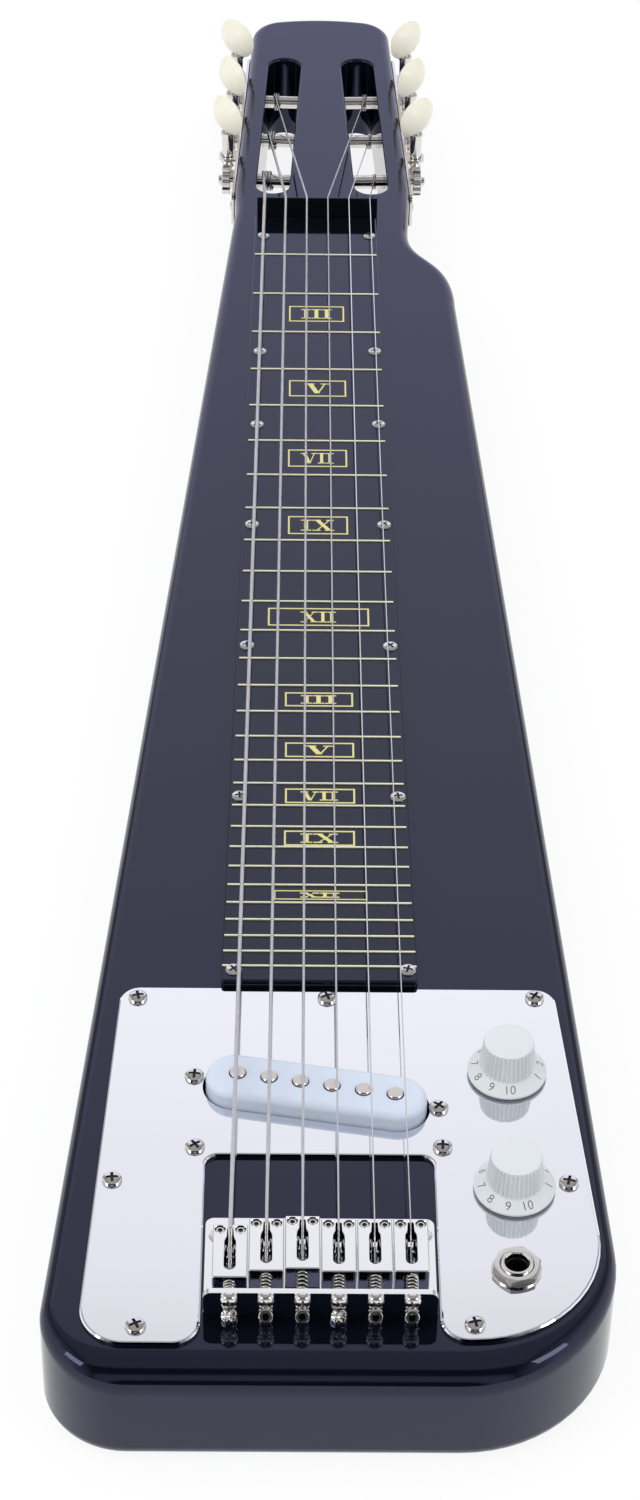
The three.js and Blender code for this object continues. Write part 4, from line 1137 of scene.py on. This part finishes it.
def worm_shape():
    low, high = ROLLER_Z - 5.25, ROLLER_Z + 5.25
    plain = [(1.4, EAR_LOW - 0.5), (1.6, EAR_LOW - 0.3), (1.6, low), (2.0, low + 0.02)]
    stem = [(2.5, high), (2.5, BUTTON_SEAT - 2.0), (2.9, BUTTON_SEAT - 1.8), (2.9, BUTTON_SEAT - 0.3),
            (2.6, BUTTON_SEAT - 0.05), (1.6, BUTTON_SEAT - 0.04), (1.6, BUTTON_SEAT + 9)]
    threaded = thread(2.8, low + 0.2, high - 0.2, 3.5, 1.0, -1, 28)
    return loft(circles(plain, 28) + threaded + circles(stem, 28))


def button_shape():
    wide, thick, tall = 10.2, 4.8, 8.8
    rings = []
    count = 18
    for step in range(count + 1):
        angle = 0.06 + (math.pi - 0.12) * step / count
        depth = thick * math.copysign(math.cos(angle) ** 2, math.cos(angle))
        x, z = wide * math.sin(angle), tall * math.sin(angle)
        rings.append([(x * math.cos(t), depth, z * math.sin(t) - 0.2) for t in around(48)])
    size = 20
    below = block(-size, size, -size, size, BUTTON_SEAT - size, BUTTON_SEAT)
    shape = cut(shifted(loft(rings), 0, 0, BUTTON_Z), below)
    return cut(shape, pin(1.75, BUTTON_SEAT - 2, BUTTON_SEAT + 9.3, 24))


GEAR, ROLLER, GEAR_SCREW = gear_shape(), roller_shape(), gear_screw_shape()
WORM, BUTTON = worm_shape(), button_shape()
for k, (side, row) in enumerate(TUNERS):
    number = k + 1
    roller, button = f"roller_{number}", f"button_{number}"
    place = across(side, row * TUNER_PITCH)
    stand = side_frame(side) @ Matrix.Translation((side * WORM_X, row * TUNER_PITCH + WORM_Y, 0))
    screw = moved(spun(GEAR_SCREW, dice.uniform(0, 180)), place)
    oval = moved(spun(BUTTON, side * TURNED[k]), stand)
    piece(f"roller_post_{number}", moved(ROLLER, place), NICKEL, roller,
          [f"string_roller_{number}"])
    piece(f"roller_gear_{number}", moved(GEAR, place), NICKEL, roller)
    piece(f"gear_screw_{number}", screw, NICKEL, roller)
    piece(f"worm_stem_{number}", moved(WORM, stand), NICKEL, button,
          [f"worm_shaft_{number}"], sharp=50)
    piece(f"button_oval_{number}", oval, CREAM, button, [f"tuner_button_{number}"])

# Finishes of the construction that stays: shafts and pots under the plate
for role, _, _ in KNOBS:
    for name, material in ((role + "_shaft", BRASS), (role + "_pot", NICKEL)):
        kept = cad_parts[name].data.materials
        kept.clear()
        kept.append(material)


# Studio: a pale floor, four soft lamps, an even sky, and for mirrors one bright ahead and at the sides
def curve(tree, source, stops):
    """A smooth grey value along a number."""
    ramp = tree.nodes.new("ShaderNodeValToRGB")
    ramp.color_ramp.interpolation = "EASE"
    elements = ramp.color_ramp.elements
    for index, (position, value) in enumerate(stops):
        stop = elements[index] if index < 2 else elements.new(position)
        stop.position = position
        stop.color = (value, value, value, 1)
    tree.links.new(source, ramp.inputs["Fac"])
    return ramp.outputs["Color"]


def math_node(tree, operation, *values):
    node = tree.nodes.new("ShaderNodeMath")
    node.operation = operation
    fill(tree, node.inputs, values)
    return node.outputs[0]


# Brightness of the mirrored sky and its blue share, along (y + 1) / 2 and along |x| of its direction
AHEAD_STOPS = (
    (0, 0), (1, 1.14), (0.012, 0), (0.03, 0.45), (0.07, 0.45), (0.12, 0), (0.2, 0), (0.27, 0.4),
    (0.77, 0.42), (0.8, 0.6), (0.832, 0.88), (0.865, 0.98), (0.93, 1.1),
)
FAR_STOPS = ((0, 0), (1, 1), (0.88, 0), (0.95, 1))
WINDOW_STOPS = ((0, 1), (1, 0.3), (0.42, 1), (0.6, 0.3))
BESIDE_STOPS = ((0, 0), (1, 1), (0.45, 0), (0.7, 0.45), (0.88, 0.95))
BLACK, WHITE = (0, 0, 0, 1), (1, 1, 1, 1)
PLAIN_SKY = (0.74, 0.745, 0.76, 1)
MIRRORED_SKY = (0.96, 0.965, 1, 1)
MIRRORED_FAR_SKY = (0.96, 0.96, 1.24, 1)

# Lamps: place in metres, power, width, height, and whether mirrors show them
LAMPS = (
    ((-1.1, -0.4, 1.8), 10, 1.6, 1.6, False),
    ((1.3, 0.9, 1.7), 5, 1.6, 1.6, False),
    ((-2.1, -1.6, 1.5), 9, 1.0, 0.8, True),
    ((2.1, -1.6, 1.5), 9, 1.0, 0.8, True),
)
LAMP_AIM = Vector((0, 0, 0.05))
FLOOR_COLOUR = (0.92, 0.92, 0.92, 1)
FLOOR_GLOW = 1.03
FLOOR_GLOW_SHARE = 0.86


def make_sky():
    scene.world = bpy.data.worlds.new("studio")
    scene.world.use_nodes = True
    tree = scene.world.node_tree
    rays = add_node(tree, "LightPath").outputs
    seen = math_node(tree, "MAXIMUM", rays["Is Glossy Ray"], rays["Is Transmission Ray"])
    parts = add_node(tree, "SeparateXYZ")
    tree.links.new(add_node(tree, "TexCoord").outputs["Generated"], parts.inputs[0])
    ahead = math_node(tree, "MULTIPLY_ADD", parts.outputs["Y"], 0.5, 0.5)
    beside = math_node(tree, "ABSOLUTE", parts.outputs["X"])
    window = curve(tree, beside, WINDOW_STOPS)
    front_light = math_node(tree, "MULTIPLY", curve(tree, ahead, AHEAD_STOPS), window)
    light = math_node(tree, "MAXIMUM", front_light, curve(tree, beside, BESIDE_STOPS))
    tint = mix_colour(tree, curve(tree, ahead, FAR_STOPS), MIRRORED_SKY, MIRRORED_FAR_SKY)
    colour = mix_colour(tree, seen, PLAIN_SKY, mix_colour(tree, light, BLACK, tint))
    colour = mix_colour(tree, rays["Is Camera Ray"], colour, WHITE)
    tree.links.new(colour, tree.nodes["Background"].inputs["Color"])


def make_lamps():
    for place, energy, width, height, mirrored in LAMPS:
        data = bpy.data.lights.new("softbox", "AREA")
        data.energy = energy
        data.shape = "RECTANGLE"
        data.size = width
        data.size_y = height
        lamp = bpy.data.objects.new("softbox", data)
        lamp.location = place
        lamp.rotation_mode = "QUATERNION"
        lamp.rotation_quaternion = (LAMP_AIM - Vector(place)).to_track_quat("-Z", "Y")
        lamp.visible_glossy = mirrored
        lamp.visible_camera = False
        scene.collection.objects.link(lamp)


def make_floor():
    bpy.ops.mesh.primitive_plane_add(size=40, location=(0, 0, -0.0003))
    floor = bpy.context.object
    floor.name = "floor"
    material = bpy.data.materials.new("floor_white")
    material.use_nodes = True
    tree = material.node_tree
    tree.nodes.clear()
    diffuse = add_node(tree, "BsdfDiffuse", Color=FLOOR_COLOUR)
    glow = add_node(tree, "Emission", Strength=FLOOR_GLOW)
    rays = add_node(tree, "LightPath").outputs
    seen = math_node(tree, "MAXIMUM", rays["Is Camera Ray"], rays["Is Glossy Ray"])
    mixed = add_node(tree, "MixShader")
    share = math_node(tree, "MULTIPLY", seen, FLOOR_GLOW_SHARE)
    fill(tree, mixed.inputs, (share, diffuse.outputs[0], glow.outputs[0]))
    tree.links.new(mixed.outputs[0], add_node(tree, "OutputMaterial").inputs["Surface"])
    floor.data.materials.append(material)


make_sky()
make_lamps()
make_floor()
scene.view_settings.view_transform = "Standard"
